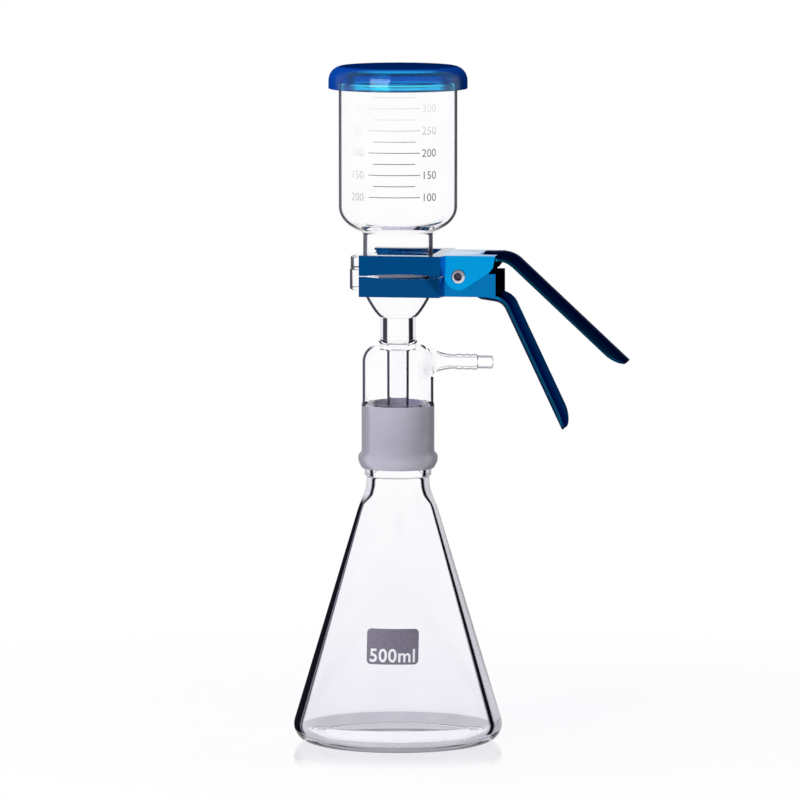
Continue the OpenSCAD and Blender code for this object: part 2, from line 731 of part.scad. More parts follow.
module upper_jaw() {
    height = clamp_top - seam_up;
    ear_room = hinge_end - taper_end + 2;
    color([0.0, 0.3, 0.56]) {
        difference() {
            translate([0, 0, clamp_top]) jaw_sheet(hinge_w, taper_end, height);
            leaf_window();
            translate([taper_end, -hinge_w, pivot_z - height - 1])
                cube([ear_room, 2 * hinge_w, clamp_top - sheet_t - pivot_z + height + 1]);
        }
        for (y = [-hinge_w / 2, hinge_w / 2 - sheet_t]) difference() {
            translate([pivot_x, y + sheet_t, pivot_z]) rotate([90, 0, 0])
                linear_extrude(sheet_t) ear_outline();
            cross_bar(hole_r, -hinge_w, hinge_w);
        }
        translate([0, 0, clamp_top]) root_start_at(upper_root_x, upper_rise) handle([
            [2.7, -upper_rise + 1, root_bend_r],
            [upper_level, -upper_slope - 1, upper_bend_r],
            [upper_len, 0, 0]
        ]);
    }
}

module lower_jaw() {
    height = seam_down - clamp_low;
    color([0.0, 0.3, 0.56]) {
        difference() {
            translate([0, 0, clamp_low]) mirror([0, 0, 1])
                jaw_sheet(inner_hinge_w, lower_taper_end, height + lower_ear_up + seam_gap);
            leaf_window();
            translate([-reach, -arms_w, seam_down]) cube([reach + taper_end, 2 * arms_w, height]);
            cross_bar(hole_r, -hinge_w, hinge_w);
            translate([0, 0, clamp_low - 1]) linear_extrude(sheet_t + 2) root_opening();
        }
        translate([0, 0, clamp_low]) mirror([0, 0, 1]) root_start_at(lower_root_x, lower_rise)
            handle([
                [4.4, lower_creep - lower_rise, root_bend_r],
                [lower_level, lower_slope - lower_creep, lower_bend_r],
                [lower_len, 0, 0]
            ]);
    }
}

module pivot_screw() {
    under = hinge_w / 2 + face_gap;
    color([0.8, 0.8, 0.82]) difference() {
        union() {
            cross_bar(screw_r, -under - 1, shank_end);
            translate([pivot_x, -under, pivot_z]) rotate([90, 0, 0]) rotate_extrude() polygon(
                concat([[0, 0], [head_d / 2, 0], [head_d / 2, head_h * 0.35]],
                    curve([head_d / 2, head_h * 0.35], [head_d / 2, head_h * 0.85],
                        [head_d / 2 - 0.9, head_h], [head_d / 2 - 1.9, head_h], 6),
                    [[0, head_h]]));
        }
        for (turn = [45, 135]) translate([pivot_x, -under - head_h, pivot_z])
            rotate([0, turn, 0]) cube([head_d * 0.55, head_h * 1.1, head_d * 0.14], center = true);
    }
}

module lock_nut() {
    color([0.8, 0.8, 0.82])
        translate([pivot_x, hinge_w / 2 + face_gap, pivot_z]) rotate([-90, 0, 0]) difference() {
            intersection() {
                cylinder(h = nut_h, r = nut_af / 2 / cos(30), $fn = 6);
                rotate_extrude() polygon([
                    [0, 0], [nut_af / 2, 0], [nut_af / 2 / cos(30), 0.5],
                    [nut_af / 2 / cos(30), nut_h - 0.5], [nut_af / 2, nut_h], [0, nut_h]
                ]);
            }
            translate([0, 0, -1]) cylinder(h = nut_h + 2, r = screw_r + skin * 3);
        }
}

// Centre line of the spring: a leg under the upper plate, the coil, a leg over the lower
function spring_path() = concat(
    [[leg_len, -coil_half, leg_top]],
    [[leg_len * 0.45, -coil_half, coil_r + (leg_top - coil_r) * 0.4]],
    [for (i = [0:coil_turns * turn_steps + turn_steps / 2])
        let (a = 90 + 360 * i / turn_steps)
        [coil_r * cos(a), -coil_half + coil_pitch * i / turn_steps, coil_r * sin(a)]],
    [[leg_len * 0.45, coil_half, -coil_r - (leg_top - coil_r) * 0.4]],
    [[leg_len, coil_half, -leg_top]]
);

// A round wire swept along a path, as rings of points joined by faces
module wire(path, r) {
    n = len(path);
    rings = [for (i = [0:n - 1])
        let (
            ahead = path[min(i + 1, n - 1)] - path[max(i - 1, 0)],
            along = ahead / norm(ahead),
            out = cross([0, 1, 0], along),
            across = out / norm(out),
            up = cross(along, across)
        )
        for (k = [0:wire_sides - 1])
            let (a = 360 * k / wire_sides) path[i] + r * (cos(a) * across + sin(a) * up)];
    sides = [for (i = [0:n - 2], k = [0:wire_sides - 1])
        let (next = (k + 1) % wire_sides)
        [i * wire_sides + k, (i + 1) * wire_sides + k,
            (i + 1) * wire_sides + next, i * wire_sides + next]];
    first = [for (k = [0:wire_sides - 1]) k];
    last = [for (k = [wire_sides - 1:-1:0]) (n - 1) * wire_sides + k];
    polyhedron(rings, concat(sides, [first], [last]), convexity = 6);
}

module torsion_spring() {
    color([0.7, 0.7, 0.72]) translate([pivot_x, 0, pivot_z]) wire(spring_path(), wire_d / 2);
}

flask();
flask_patch();
filter_base();
frit_disc();
funnel();
funnel_scale();
lid();
lower_jaw();
upper_jaw();
pivot_screw();
lock_nut();
torsion_spring();
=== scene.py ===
import math
import bpy
from mathutils import Matrix, Vector


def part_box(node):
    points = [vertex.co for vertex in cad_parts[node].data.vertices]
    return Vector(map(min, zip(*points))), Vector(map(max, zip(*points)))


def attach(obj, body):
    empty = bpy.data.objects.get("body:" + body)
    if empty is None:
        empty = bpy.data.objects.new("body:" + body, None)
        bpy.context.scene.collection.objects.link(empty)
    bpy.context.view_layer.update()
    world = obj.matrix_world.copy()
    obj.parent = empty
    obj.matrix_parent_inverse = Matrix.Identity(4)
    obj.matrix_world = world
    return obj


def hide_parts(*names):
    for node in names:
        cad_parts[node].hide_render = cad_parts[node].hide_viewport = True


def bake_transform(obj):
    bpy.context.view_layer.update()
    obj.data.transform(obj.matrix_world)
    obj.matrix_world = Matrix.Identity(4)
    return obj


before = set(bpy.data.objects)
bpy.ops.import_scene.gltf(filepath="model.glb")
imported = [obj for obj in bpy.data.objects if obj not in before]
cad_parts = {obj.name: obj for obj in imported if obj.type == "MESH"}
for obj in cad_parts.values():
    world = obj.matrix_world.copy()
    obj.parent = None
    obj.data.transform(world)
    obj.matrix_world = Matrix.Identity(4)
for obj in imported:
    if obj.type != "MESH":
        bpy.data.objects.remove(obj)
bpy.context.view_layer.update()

# ---------------------------------------------------------------- conical flask
# A blown borosilicate flask that takes the filtrate. Its wall is a little over 2 mm, its
# base is thicker and rises in the middle, and its short neck ends in a ground cone that
# holds the filter base by its taper alone.
flask_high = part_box("flask")[1]
flask_r, flask_h = flask_high.x, flask_high.z
flask_wall, flask_corner, flask_floor = 0.0023, 0.0105, 0.0042
punt = 0.0014  # the rise in the middle of the base
cone_top = Vector((0.0249, 0.144))
waist_r, waist_low, waist_high = 0.0195, 0.155, 0.162
joint_low, joint_high = 0.171, 0.209
joint_r, joint_top_r = 0.020, 0.0181
collar_r, collar_low, collar_high = joint_r + 0.0006, 0.1658, 0.1694
mouth_r, mouth_low = 0.0155, 0.165
lip = 0.001  # the rounding of a fire-polished rim


def arc(cx, cz, r, start, end, count=8):
    """Points of an arc in a section, from one angle to another, in degrees."""
    turns = [math.radians(start + (end - start) * i / count) for i in range(count + 1)]
    return [(cx + r * math.cos(t), cz + r * math.sin(t)) for t in turns]


def curve(p0, p1, p2, p3, count=10):
    """Points of a smooth line in a section, from p0 to p3, pulled by p1 and p2."""
    points = []
    for i in range(count + 1):
        t = i / count
        parts = ((1 - t) ** 3, 3 * (1 - t) ** 2 * t, 3 * (1 - t) * t * t, t ** 3)
        points.append(tuple(sum(w * p[k] for w, p in zip(parts, (p0, p1, p2, p3))) for k in (0, 1)))
    return points


def lathe(name, section, steps=128):
    """A section drawn point by point beside the Z axis, spun once round it and closed."""
    bpy.ops.object.select_all(action="DESELECT")
    bpy.ops.mesh.primitive_plane_add(size=0.002, location=(0, 0, 0))
    piece = bpy.context.object
    piece.name = piece.data.name = name
    bpy.ops.object.mode_set(mode="EDIT")
    bpy.ops.mesh.select_all(action="SELECT")
    bpy.ops.mesh.merge(type="CENTER")
    last = (0.0, 0.0)
    for i, point in enumerate(section):
        step = (point[0] - last[0], 0, point[1] - last[1])
        if i == 0:
            bpy.ops.transform.translate(value=step)
        elif abs(step[0]) + abs(step[2]) > 1e-7:
            bpy.ops.mesh.extrude_region_move(TRANSFORM_OT_translate={"value": step})
        last = point
    bpy.ops.mesh.select_all(action="SELECT")
    bpy.ops.mesh.spin(steps=steps, angle=2 * math.pi, center=(0, 0, 0), axis=(0, 0, 1))
    bpy.ops.mesh.select_all(action="SELECT")
    bpy.ops.mesh.remove_doubles(threshold=2e-6)
    bpy.ops.mesh.normals_make_consistent(inside=False)
    bpy.ops.object.mode_set(mode="OBJECT")
    bpy.ops.object.shade_smooth_by_angle(angle=math.radians(38))
    return piece


def linear(code):
    """The linear colour of an sRGB hex value."""
    parts = [int(code[i:i + 2], 16) / 255 for i in (1, 3, 5)]
    return tuple(p / 12.92 if p <= 0.04045 else ((p + 0.055) / 1.055) ** 2.4 for p in parts) + (1.0,)


def add(tree, kind, settings, inputs):
    """Adds a node with its settings. An input is a value or another node's output.

    A colour Mix takes its share as input 0 and its two colours as inputs 6 and 7.
    """
    made = tree.nodes.new(kind)
    for key, value in settings.items():
        if key == "stops":
            while len(made.color_ramp.elements) < len(value):
                made.color_ramp.elements.new(0.5)
            for element, (place, code) in zip(made.color_ramp.elements, value):
                element.position = place
                element.color = linear(code)
        else:
            setattr(made, key, value)
    for key, value in inputs.items():
        if isinstance(value, bpy.types.NodeSocket):
            tree.links.new(value, made.inputs[key])
        else:
            made.inputs[key].default_value = value
    return made


def new_material(name):
    """An empty node material."""
    made = bpy.data.materials.new(name)
    made.use_nodes = True
    made.node_tree.nodes.clear()
    return made


def dress(piece, *materials):
    """Gives a piece its materials. A face's number says which one it takes."""
    piece.data.materials.clear()
    for material in materials:
        piece.data.materials.append(material)


def let_lamps_through(tree, body, shade):
    """Makes a shader the surface. It throws a faint shadow of one colour, not a black one."""
    rays = add(tree, "ShaderNodeLightPath", {}, {})
    thin = add(tree, "ShaderNodeBsdfTransparent", {}, {"Color": linear(shade)})
    mixed = add(tree, "ShaderNodeMixShader", {}, {
        0: rays.outputs["Is Shadow Ray"], 1: body.outputs[0], 2: thin.outputs[0]})
    return add(tree, "ShaderNodeOutputMaterial", {}, {"Surface": mixed.outputs[0]})


def outwardness(face):
    """Over zero where a face looks away from the Z axis, under zero where it looks at it."""
    return face.normal.x * face.center.x + face.normal.y * face.center.y


# Borosilicate glass is colourless. What is seen edge-on is drawn dark for the width of the wall as
# painted shade. Blowing leaves slow, faint waves.
def borosilicate(name, wall, edge, centre=(0, 0, 0), flat=(1, 1, 0), low_tint=None, painted_light_side=None,
                 bend=1.45, inner=False):
    """Clear glass with a line of the colours in edge along its outline.

    The painted shade line is as wide as the first of wall on slim parts and the second on wide ones. It is
    measured from centre, across flat. low_tint tints the glass up to a height, painted_light_side paints
    the line's colours on the right as painted light, and inner draws the line on faces seen from behind too.
    """
    made = new_material(name)
    t = made.node_tree
    place = add(t, "ShaderNodeTexCoord", {}, {})
    noise = add(t, "ShaderNodeTexNoise", {}, {
        "Vector": place.outputs["Object"], "Scale": 55.0, "Detail": 1.0})
    bump = add(t, "ShaderNodeBump", {}, {
        "Height": noise.outputs["Fac"], "Distance": 0.00003, "Strength": 1.0})
    off = add(t, "ShaderNodeVectorMath", {"operation": "SUBTRACT"}, {0: place.outputs["Object"], 1: centre})
    beside = add(t, "ShaderNodeVectorMath", {"operation": "MULTIPLY"}, {0: off.outputs[0], 1: flat})
    radius = add(t, "ShaderNodeVectorMath", {"operation": "LENGTH"}, {
        0: beside.outputs[0]}).outputs["Value"]
    # How far in from its outline the surface is seen, measured level.
    surface = add(t, "ShaderNodeNewGeometry", {}, {})
    normal = add(t, "ShaderNodeSeparateXYZ", {}, {"Vector": surface.outputs["Normal"]})
    level = normal.outputs["Z" if flat[2] == 0 else "X"]
    steep = add(t, "ShaderNodeMath", {"operation": "MULTIPLY"}, {0: level, 1: level})
    # A little over 1, so that nothing is divided by zero on a flat top.
    plumb = add(t, "ShaderNodeMath", {"operation": "SUBTRACT"}, {0: 1.0001, 1: steep.outputs[0]})
    slant = add(t, "ShaderNodeLayerWeight", {}, {"Blend": 0.5})
    front = add(t, "ShaderNodeMath", {"operation": "SUBTRACT"}, {0: 1.0, 1: slant.outputs["Facing"]})
    squared = add(t, "ShaderNodeMath", {"operation": "MULTIPLY"}, {
        0: front.outputs[0], 1: front.outputs[0]})
    share = add(t, "ShaderNodeMath", {"operation": "DIVIDE", "use_clamp": True}, {
        0: squared.outputs[0], 1: plumb.outputs[0]})
    rest = add(t, "ShaderNodeMath", {"operation": "SUBTRACT"}, {0: 1.0, 1: share.outputs[0]})
    across = add(t, "ShaderNodeMath", {"operation": "SQRT"}, {0: rest.outputs[0]})
    beyond = add(t, "ShaderNodeMath", {"operation": "SUBTRACT"}, {0: 1.0, 1: across.outputs[0]})
    inward = add(t, "ShaderNodeMath", {"operation": "MULTIPLY"}, {0: beyond.outputs[0], 1: radius})
    upright = add(t, "ShaderNodeMath", {"operation": "SQRT"}, {0: plumb.outputs[0]})
    slope_in = add(t, "ShaderNodeMath", {"operation": "MULTIPLY"}, {
        0: inward.outputs[0], 1: upright.outputs[0]})
    seen_wall = add(t, "ShaderNodeMapRange", {}, {
        "Value": radius, "From Min": 0.02, "From Max": 0.064,
        "To Min": wall[0], "To Max": wall[1]}).outputs[0]
    if painted_light_side:
        # On the right and at the neck, the wall outside the line is painted pale: painted light.
        side = add(t, "ShaderNodeMapRange", {}, {
            "Value": normal.outputs["X"], "From Min": -0.3, "From Max": 0.3})
        neck = add(t, "ShaderNodeMapRange", {}, {
            "Value": radius, "From Min": 0.0208, "From Max": 0.0232, "To Min": 1.0, "To Max": 0.0})
        lit = add(t, "ShaderNodeMath", {"operation": "MAXIMUM"}, {0: side.outputs[0], 1: neck.outputs[0]})
        wider = add(t, "ShaderNodeMath", {"operation": "MULTIPLY_ADD"}, {0: lit.outputs[0], 1: 0.4, 2: 1.0})
        widest = add(t, "ShaderNodeMath", {"operation": "MULTIPLY_ADD"}, {
            0: neck.outputs[0], 1: 0.8, 2: wider.outputs[0]})
        seen_wall = add(t, "ShaderNodeMath", {"operation": "MULTIPLY"}, {
            0: seen_wall, 1: widest.outputs[0]}).outputs[0]
    depth = add(t, "ShaderNodeMath", {"operation": "DIVIDE"}, {0: slope_in.outputs[0], 1: seen_wall})
    band = add(t, "ShaderNodeMapRange", {"interpolation_type": "SMOOTHSTEP"}, {
        "Value": depth.outputs[0], "From Min": 0.86, "From Max": 1.08, "To Min": 1.0, "To Max": 0.0})
    flat_top = add(t, "ShaderNodeMapRange", {}, {
        "Value": upright.outputs[0], "From Min": 0.4, "From Max": 0.65})
    if inner:
        shown = flat_top
    else:
        outer = add(t, "ShaderNodeMath", {"operation": "SUBTRACT"}, {
            0: 1.0, 1: surface.outputs["Backfacing"]})
        shown = add(t, "ShaderNodeMath", {"operation": "MULTIPLY"}, {
            0: flat_top.outputs[0], 1: outer.outputs[0]})
    edge_on = add(t, "ShaderNodeMath", {"operation": "MULTIPLY"}, {
        0: band.outputs[0], 1: shown.outputs[0]}).outputs[0]
    line = add(t, "ShaderNodeValToRGB", {"stops": edge}, {"Fac": depth.outputs[0]}).outputs["Color"]
    if painted_light_side:
        other = add(t, "ShaderNodeValToRGB", {"stops": painted_light_side}, {"Fac": depth.outputs[0]})
        line = add(t, "ShaderNodeMix", {"data_type": "RGBA"}, {
            0: lit.outputs[0], 6: line, 7: other.outputs[0]}).outputs[2]
    clear = add(t, "ShaderNodeValToRGB", {"stops": [(0.3, "#ffffff"), (1.0, "#f6f5fa")]},
                {"Fac": slant.outputs["Facing"]}).outputs[0]
    if low_tint:
        lift = add(t, "ShaderNodeSeparateXYZ", {}, {"Vector": place.outputs["Object"]})
        height = add(t, "ShaderNodeMapRange", {}, {
            "Value": lift.outputs["Z"], "From Min": 0.0, "From Max": low_tint[0]})
        shade = add(t, "ShaderNodeValToRGB", {"stops": low_tint[1]}, {"Fac": height.outputs[0]})
        clear = add(t, "ShaderNodeMix", {"data_type": "RGBA", "blend_type": "MULTIPLY"},
                    {0: 1.0, 6: clear, 7: shade.outputs[0]}).outputs[2]
    tint = add(t, "ShaderNodeMix", {"data_type": "RGBA"}, {0: edge_on, 6: clear, 7: line})
    light = add(t, "ShaderNodeRGBToBW", {}, {"Color": line})
    dense = add(t, "ShaderNodeMapRange", {}, {
        "Value": light.outputs[0], "From Min": 0.05, "From Max": 0.5,
        "To Min": 1.0, "To Max": 0.35 if painted_light_side else 0.0})
    dark = add(t, "ShaderNodeMath", {"operation": "MULTIPLY"}, {0: dense.outputs[0], 1: edge_on})
    glass = add(t, "ShaderNodeBsdfPrincipled", {}, {
        "Base Color": tint.outputs[2], "Roughness": 0.0, "IOR": bend, "Transmission Weight": 1.0,
        "Specular IOR Level": 0.25, "Normal": bump.outputs["Normal"]})
    # Painted shade: a matt layer of the line's colour where the glass is seen edge-on.
    painted_edge_shade = add(t, "ShaderNodeBsdfDiffuse", {}, {"Color": line})
    glass = add(t, "ShaderNodeMixShader", {}, {0: dark.outputs[0], 1: glass.outputs[0], 2: painted_edge_shade.outputs[0]})
    let_lamps_through(t, glass, "#f6f5fa")
    return made


# The bore of a wall is the same glass, and has no dark line of its own. Where bend is low,
# what lies behind the wall is seen through it unmoved.
def clear_bore(name, code="#f9f9fc", bend=1.45, faint="#ffffff"):
    made = new_material(name)
    t = made.node_tree
    place = add(t, "ShaderNodeTexCoord", {}, {})
    noise = add(t, "ShaderNodeTexNoise", {}, {
        "Vector": place.outputs["Object"], "Scale": 40.0, "Detail": 1.0})
    bump = add(t, "ShaderNodeBump", {}, {
        "Height": noise.outputs["Fac"], "Distance": 0.00003, "Strength": 1.0})
    tint = add(t, "ShaderNodeValToRGB", {"stops": [(0.3, faint), (0.8, code)]},
               {"Fac": noise.outputs["Fac"]})
    glass = add(t, "ShaderNodeBsdfPrincipled", {}, {
        "Base Color": tint.outputs[0], "Roughness": 0.0, "IOR": bend, "Transmission Weight": 1.0,
        "Specular IOR Level": 0.25, "Normal": bump.outputs["Normal"]})
    let_lamps_through(t, glass, "#f6f5fa")
    return made


# Ground glass is cut with fine grit: a matt, pale lilac grey that lets blurred light through.
def ground_glass(name):
    made = new_material(name)
    t = made.node_tree
    place = add(t, "ShaderNodeTexCoord", {}, {})
    # The grit is near 0.05 mm and is drawn at 0.4 mm, so that it shows.
    grit = add(t, "ShaderNodeTexNoise", {}, {
        "Vector": place.outputs["Object"], "Scale": 2500.0, "Detail": 2.0})
    bands = add(t, "ShaderNodeMapping", {}, {
        "Vector": place.outputs["Object"], "Scale": (20.0, 20.0, 60.0)})
    cloud = add(t, "ShaderNodeTexNoise", {}, {
        "Vector": bands.outputs["Vector"], "Scale": 1.0, "Detail": 3.0})
    colour = add(t, "ShaderNodeValToRGB", {"stops": [(0.3, "#b2afbc"), (0.7, "#bebbc8")]},
                 {"Fac": cloud.outputs["Fac"]})
    bump = add(t, "ShaderNodeBump", {}, {
        "Height": grit.outputs["Fac"], "Distance": 0.00003, "Strength": 0.6})
    glass = add(t, "ShaderNodeBsdfPrincipled", {}, {
        "Base Color": colour.outputs["Color"], "Roughness": 0.7, "Transmission Weight": 0.25,
        "Specular IOR Level": 0.1, "Normal": bump.outputs["Normal"]})
    let_lamps_through(t, glass, "#b8b6c0")
    return made


side_slope = math.degrees(math.atan((flask_r - cone_top.x) / (cone_top.y - flask_corner)))
corner_x = flask_r - flask_corner
foot_r = corner_x - 0.002
inner_corner = flask_corner - flask_wall
flask_outside = (
    [(0, punt), (foot_r - 0.012, punt), (foot_r - 0.006, 0.0002), (foot_r, 0)]
    + arc(corner_x, flask_corner, flask_corner, -90, side_slope, 14)
    + curve(cone_top, (cone_top.x - 0.0026, cone_top.y + 0.008), (waist_r, waist_low), (waist_r, waist_high))
    + curve((waist_r, waist_high), (waist_r, waist_high + 0.0025), (joint_r - 0.0011, collar_low - 0.0004),
            (collar_r, collar_low), 5)
    + [(collar_r, collar_high), (joint_r, joint_low), (joint_top_r, joint_high)]
    + arc(joint_top_r - lip, flask_h - lip, lip, 0, 90, 4))
flask_inside = (
    arc(mouth_r + lip, flask_h - lip, lip, 90, 180, 4)
    + curve((mouth_r, mouth_low), (mouth_r, waist_low + 0.001), (cone_top.x - 0.0045, cone_top.y + 0.008),
            (cone_top.x - flask_wall, cone_top.y))
    + arc(corner_x, flask_floor + inner_corner, inner_corner, side_slope, -90, 14)
    + [(0, flask_floor)])
flask = lathe("receiving_flask", flask_outside + flask_inside, 160)
# Colours of the painted shade line along the flask's outline, and of the painted light outside it on the
# right.
painted_shade_line = [(0.0, "#3d3a48"), (0.12, "#17171f"), (0.64, "#121219"), (0.74, "#7c7988"), (0.86, "#3a3846"),
             (1.0, "#a19eac")]
painted_light_line = [(0.0, "#a5a2b0"), (0.1, "#d3d0dc"), (0.45, "#d9d6e1"), (0.6, "#b4b0c0"), (0.67, "#1e1d27"),
             (0.86, "#191922"), (1.0, "#7b7889")]
# The flask is drawn darker and greyer towards the bottom, up to a height.
darker_towards_bottom = [(0.0, "#9a97a5"), (0.02, "#b0adba"), (0.068, "#f2f1f7"), (0.35, "#f7f6fb"), (1.0, "#ffffff")]
dress(flask,
      borosilicate("borosilicate_flask", (0.0025, 0.0058), painted_shade_line, low_tint=(0.15, darker_towards_bottom),
                   painted_light_side=painted_light_line, bend=1.33),
      clear_bore("borosilicate_flask_bore", bend=1.33),
      ground_glass("ground_glass_cone"),
      clear_bore("borosilicate_flask_floor", "#fdfdfe", 1.06),
      clear_bore("borosilicate_flask_foot_painted_shade", "#96949f", 1.12, "#a9a7b1"))
# The faces of each finish are told by where they lie and which way they look.
bore_faces, ground_faces, floor_faces, shaded_foot_faces = 1, 2, 3, 4
base_zone = 0.02
for face in flask.data.polygons:
    if joint_low < face.center.z < joint_high and outwardness(face) > 0:
        face.material_index = ground_faces
    elif face.center.z < base_zone and (face.normal.z > 0.6 or face.center.xy.length < foot_r - 0.004):
        face.material_index = floor_faces
    elif outwardness(face) < 0:
        face.material_index = bore_faces
    # Faces of the foot that look down take a grey glass: painted shade.
    elif face.normal.z < -0.25:
        face.material_index = shaded_foot_faces
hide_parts("flask")
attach(flask, "stand")

# ---------------------------------------------------------------- writing patch
# A grey-violet enamel patch, screen printed and fired on the flask. The volume in its
# lower part is left unprinted, and shows as white.
patch_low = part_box("flask_patch")[0]
print_turn = math.radians(4.5)
side_low = Vector((corner_x + flask_corner * math.cos(math.radians(side_slope)),
                   flask_corner + flask_corner * math.sin(math.radians(side_slope))))
wall_run = (side_low.x - cone_top.x) / (cone_top.y - side_low.y)


# Fired enamel is dense and slightly matt, with the fine grain of the screen in its film.
def enamel(name, code, other, grain=900.0, roughness=0.45):
    made = new_material(name)
    t = made.node_tree
    place = add(t, "ShaderNodeTexCoord", {}, {})
    film = add(t, "ShaderNodeTexNoise", {}, {
        "Vector": place.outputs["Object"], "Scale": grain, "Detail": 3.0})
    colour = add(t, "ShaderNodeValToRGB", {"stops": [(0.35, code), (0.75, other)]},
                 {"Fac": film.outputs["Fac"]})
    bump = add(t, "ShaderNodeBump", {}, {
        "Height": film.outputs["Fac"], "Distance": 0.00002, "Strength": 0.5})
    coat = add(t, "ShaderNodeBsdfPrincipled", {}, {
        "Base Color": colour.outputs["Color"], "Roughness": roughness, "IOR": 1.5,
        "Normal": bump.outputs["Normal"]})
    add(t, "ShaderNodeOutputMaterial", {}, {"Surface": coat.outputs[0]})
    return made


def lettering(name, words, height, low, turn, radius_at, bold=0.0, spread=1.0):
    """Flat words stood up, scaled to the height of their figures and wrapped round the Z axis.

    The text is drawn 1 m high and 4 mm thick, and is left 0.04 mm thick.
    """
    bpy.ops.object.select_all(action="DESELECT")
    bpy.ops.object.text_add(location=(0, 0, 0))
    piece = bpy.context.object
    piece.name = name
    piece.data.body = words
    piece.data.size = 1.0
    piece.data.align_x = "CENTER"
    piece.data.extrude = 0.002
    piece.data.offset = bold
    piece.data.space_character = spread
    piece.data.resolution_u = 5
    bpy.ops.object.convert(target="MESH")
    points = piece.data.vertices
    top = max(v.co.y for v in points)
    for v in points:
        across, up, out = v.co.x * height / top, low + v.co.y * height / top, v.co.z * 0.01
        r = radius_at(up) + out
        at = turn + across / r
        v.co = (r * math.sin(at), -r * math.cos(at), up)
    bpy.ops.object.mode_set(mode="EDIT")
    bpy.ops.mesh.select_all(action="SELECT")
    bpy.ops.mesh.remove_doubles(threshold=1e-6)
    bpy.ops.mesh.normals_make_consistent(inside=False)
    bpy.ops.object.mode_set(mode="OBJECT")
    return piece


dress(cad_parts["flask_patch"], enamel("fired_enamel_grey", "#767080", "#857f8e"))
volume = lettering("patch_volume", "500ml", 0.0078, patch_low.z + 0.0016, print_turn,
                   lambda z: cone_top.x + 0.00018 + (cone_top.y - z) * wall_run, 0.02, 1.08)
dress(volume, enamel("unprinted_white", "#f2f0f6", "#fbfafc", roughness=0.6))
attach(volume, "stand")

# ---------------------------------------------------------------- filter base
# One piece of fused glass: a ground socket with a bead round its mouth, a clear chamber
# with a drip tube hanging in it, a stem, a bowl and a thick flange with the disc's seat.
# The hose connection is blown out of the chamber's side and keeps its ridges.
base_low, base_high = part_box("filter_base")
joint_gap = 0.0001  # between the two ground cones
bead_r, bead_z = 0.0246, 0.177
socket_r, socket_low, socket_high = 0.0225, 0.1812, 0.209
chamber_r, chamber_bore, chamber_low = 0.0219, 0.0197, 0.211
dome_top, dome_h = 0.247, 0.011
stem_r, stem_bore, stem_top = 0.0109, 0.0073, 0.2635
drip_r, drip_bore, drip_low = 0.0067, 0.005, 0.177
bowl_top, bowl_r, bowl_in = 0.281, 0.0212, 0.0178
joint_face = base_high.z
rim_r, rim_round = 0.0297, 0.0008
seat_low, seat_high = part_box("frit_disc")
seat_r = seat_high.x + 0.00005
hose_z, hose_r, hose_end = 0.2364, 0.004, base_high.x
root_h = 0.0108  # half the height of the wall that the hose connection joins

base_section = (
    [(drip_bore, drip_low + 0.0006), (drip_bore, dome_top - 0.001), (stem_bore, dome_top + 0.003),
     (stem_bore, stem_top - 0.001)]
    + curve((stem_bore, stem_top - 0.001), (stem_bore + 0.0025, stem_top + 0.0023),
            (bowl_in - 0.0004, stem_top + 0.0091), (bowl_in, bowl_top), 14)
    + [(bowl_in, seat_low.z), (seat_r, seat_low.z), (seat_r, joint_face)]
    + arc(rim_r - rim_round, joint_face - rim_round, rim_round, 90, 0, 4)
    + arc(rim_r - rim_round, bowl_top + rim_round, rim_round, 0, -90, 4)
    + [(bowl_r + 0.0006, bowl_top)]
    + curve((bowl_r, bowl_top - 0.0006), (bowl_r, stem_top + 0.0135), (stem_r + 0.0024, stem_top + 0.0006),
            (stem_r, stem_top), 18)
    + [(stem_r, dome_top + 0.003)]
    + arc(stem_r - 0.0005, dome_top + 0.0015, 0.0015, 70, -70, 6)
    + curve((stem_r + 0.001, dome_top), (chamber_r - 0.0055, dome_top - 0.0004),
            (chamber_r, dome_top - 0.0044), (chamber_r, dome_top - dome_h), 12)
    + [(chamber_r, hose_z - root_h), (chamber_r, chamber_low)]
    + [(socket_r, socket_high), (socket_r, socket_low)]
    + curve((socket_r, socket_low), (socket_r, socket_low - 0.0022), (bead_r, bead_z + 0.0026),
            (bead_r, bead_z), 7)
    + curve((bead_r, bead_z), (bead_r, bead_z - 0.003), (bead_r - 0.0006, bead_z - 0.0042),
            (joint_r + 0.0022, base_low.z), 7)
    + [(joint_r + 0.001, base_low.z), (joint_r + joint_gap, joint_low + 0.0002)]
    + [(joint_top_r + joint_gap, joint_high), (joint_top_r + joint_gap, chamber_low)]
    + [(chamber_bore, chamber_low + 0.003), (chamber_bore, hose_z - root_h)]
    + curve((chamber_bore, dome_top - dome_h), (chamber_bore, dome_top - 0.0055),
            (chamber_r - 0.0074, dome_top - 0.0026), (drip_r + 0.001, dome_top - 0.0026), 12)
    + [(drip_r, dome_top - 0.0036), (drip_r, drip_low + 0.0006)]
    + arc(drip_r - 0.0005, drip_low + 0.0005, 0.0005, 0, -90, 3)
    + arc(drip_bore + 0.0005, drip_low + 0.0005, 0.0005, -90, -180, 3))
base = lathe("fused_filter_base", base_section + base_section[:1], 144)

# The hose connection is turned about the upright axis, laid along +X and joined on.
ridge_start, ridge_pitch, ridge_count = 0.0355, 0.0047, 3
groove_r, root_r, root_bore, hose_bore = 0.0044, 0.0085, 0.0061, 0.0027
ridges = []
for i in range(ridge_count):
    at = ridge_start + i * ridge_pitch
    ridges += [(groove_r, at), (groove_r + 0.0004, at + 0.0018), (groove_r + 0.0005, at + 0.003),
               (groove_r + 0.0004, at + 0.0039)]
hose_outside = (
    [(0, chamber_r - 0.0055), (root_r - 0.0009, chamber_r - 0.0055), (root_r, chamber_r - 0.001)]
    + curve((root_r, chamber_r - 0.001), (0.0059, chamber_r + 0.002),
            (groove_r + 0.0001, ridge_start - 0.005), (groove_r, ridge_start - 0.001), 10)
    + ridges
    + [(hose_r, ridge_start + ridge_count * ridge_pitch), (hose_r, hose_end - 0.0006)]
    + [(hose_r - 0.0006, hose_end), (0, hose_end)])
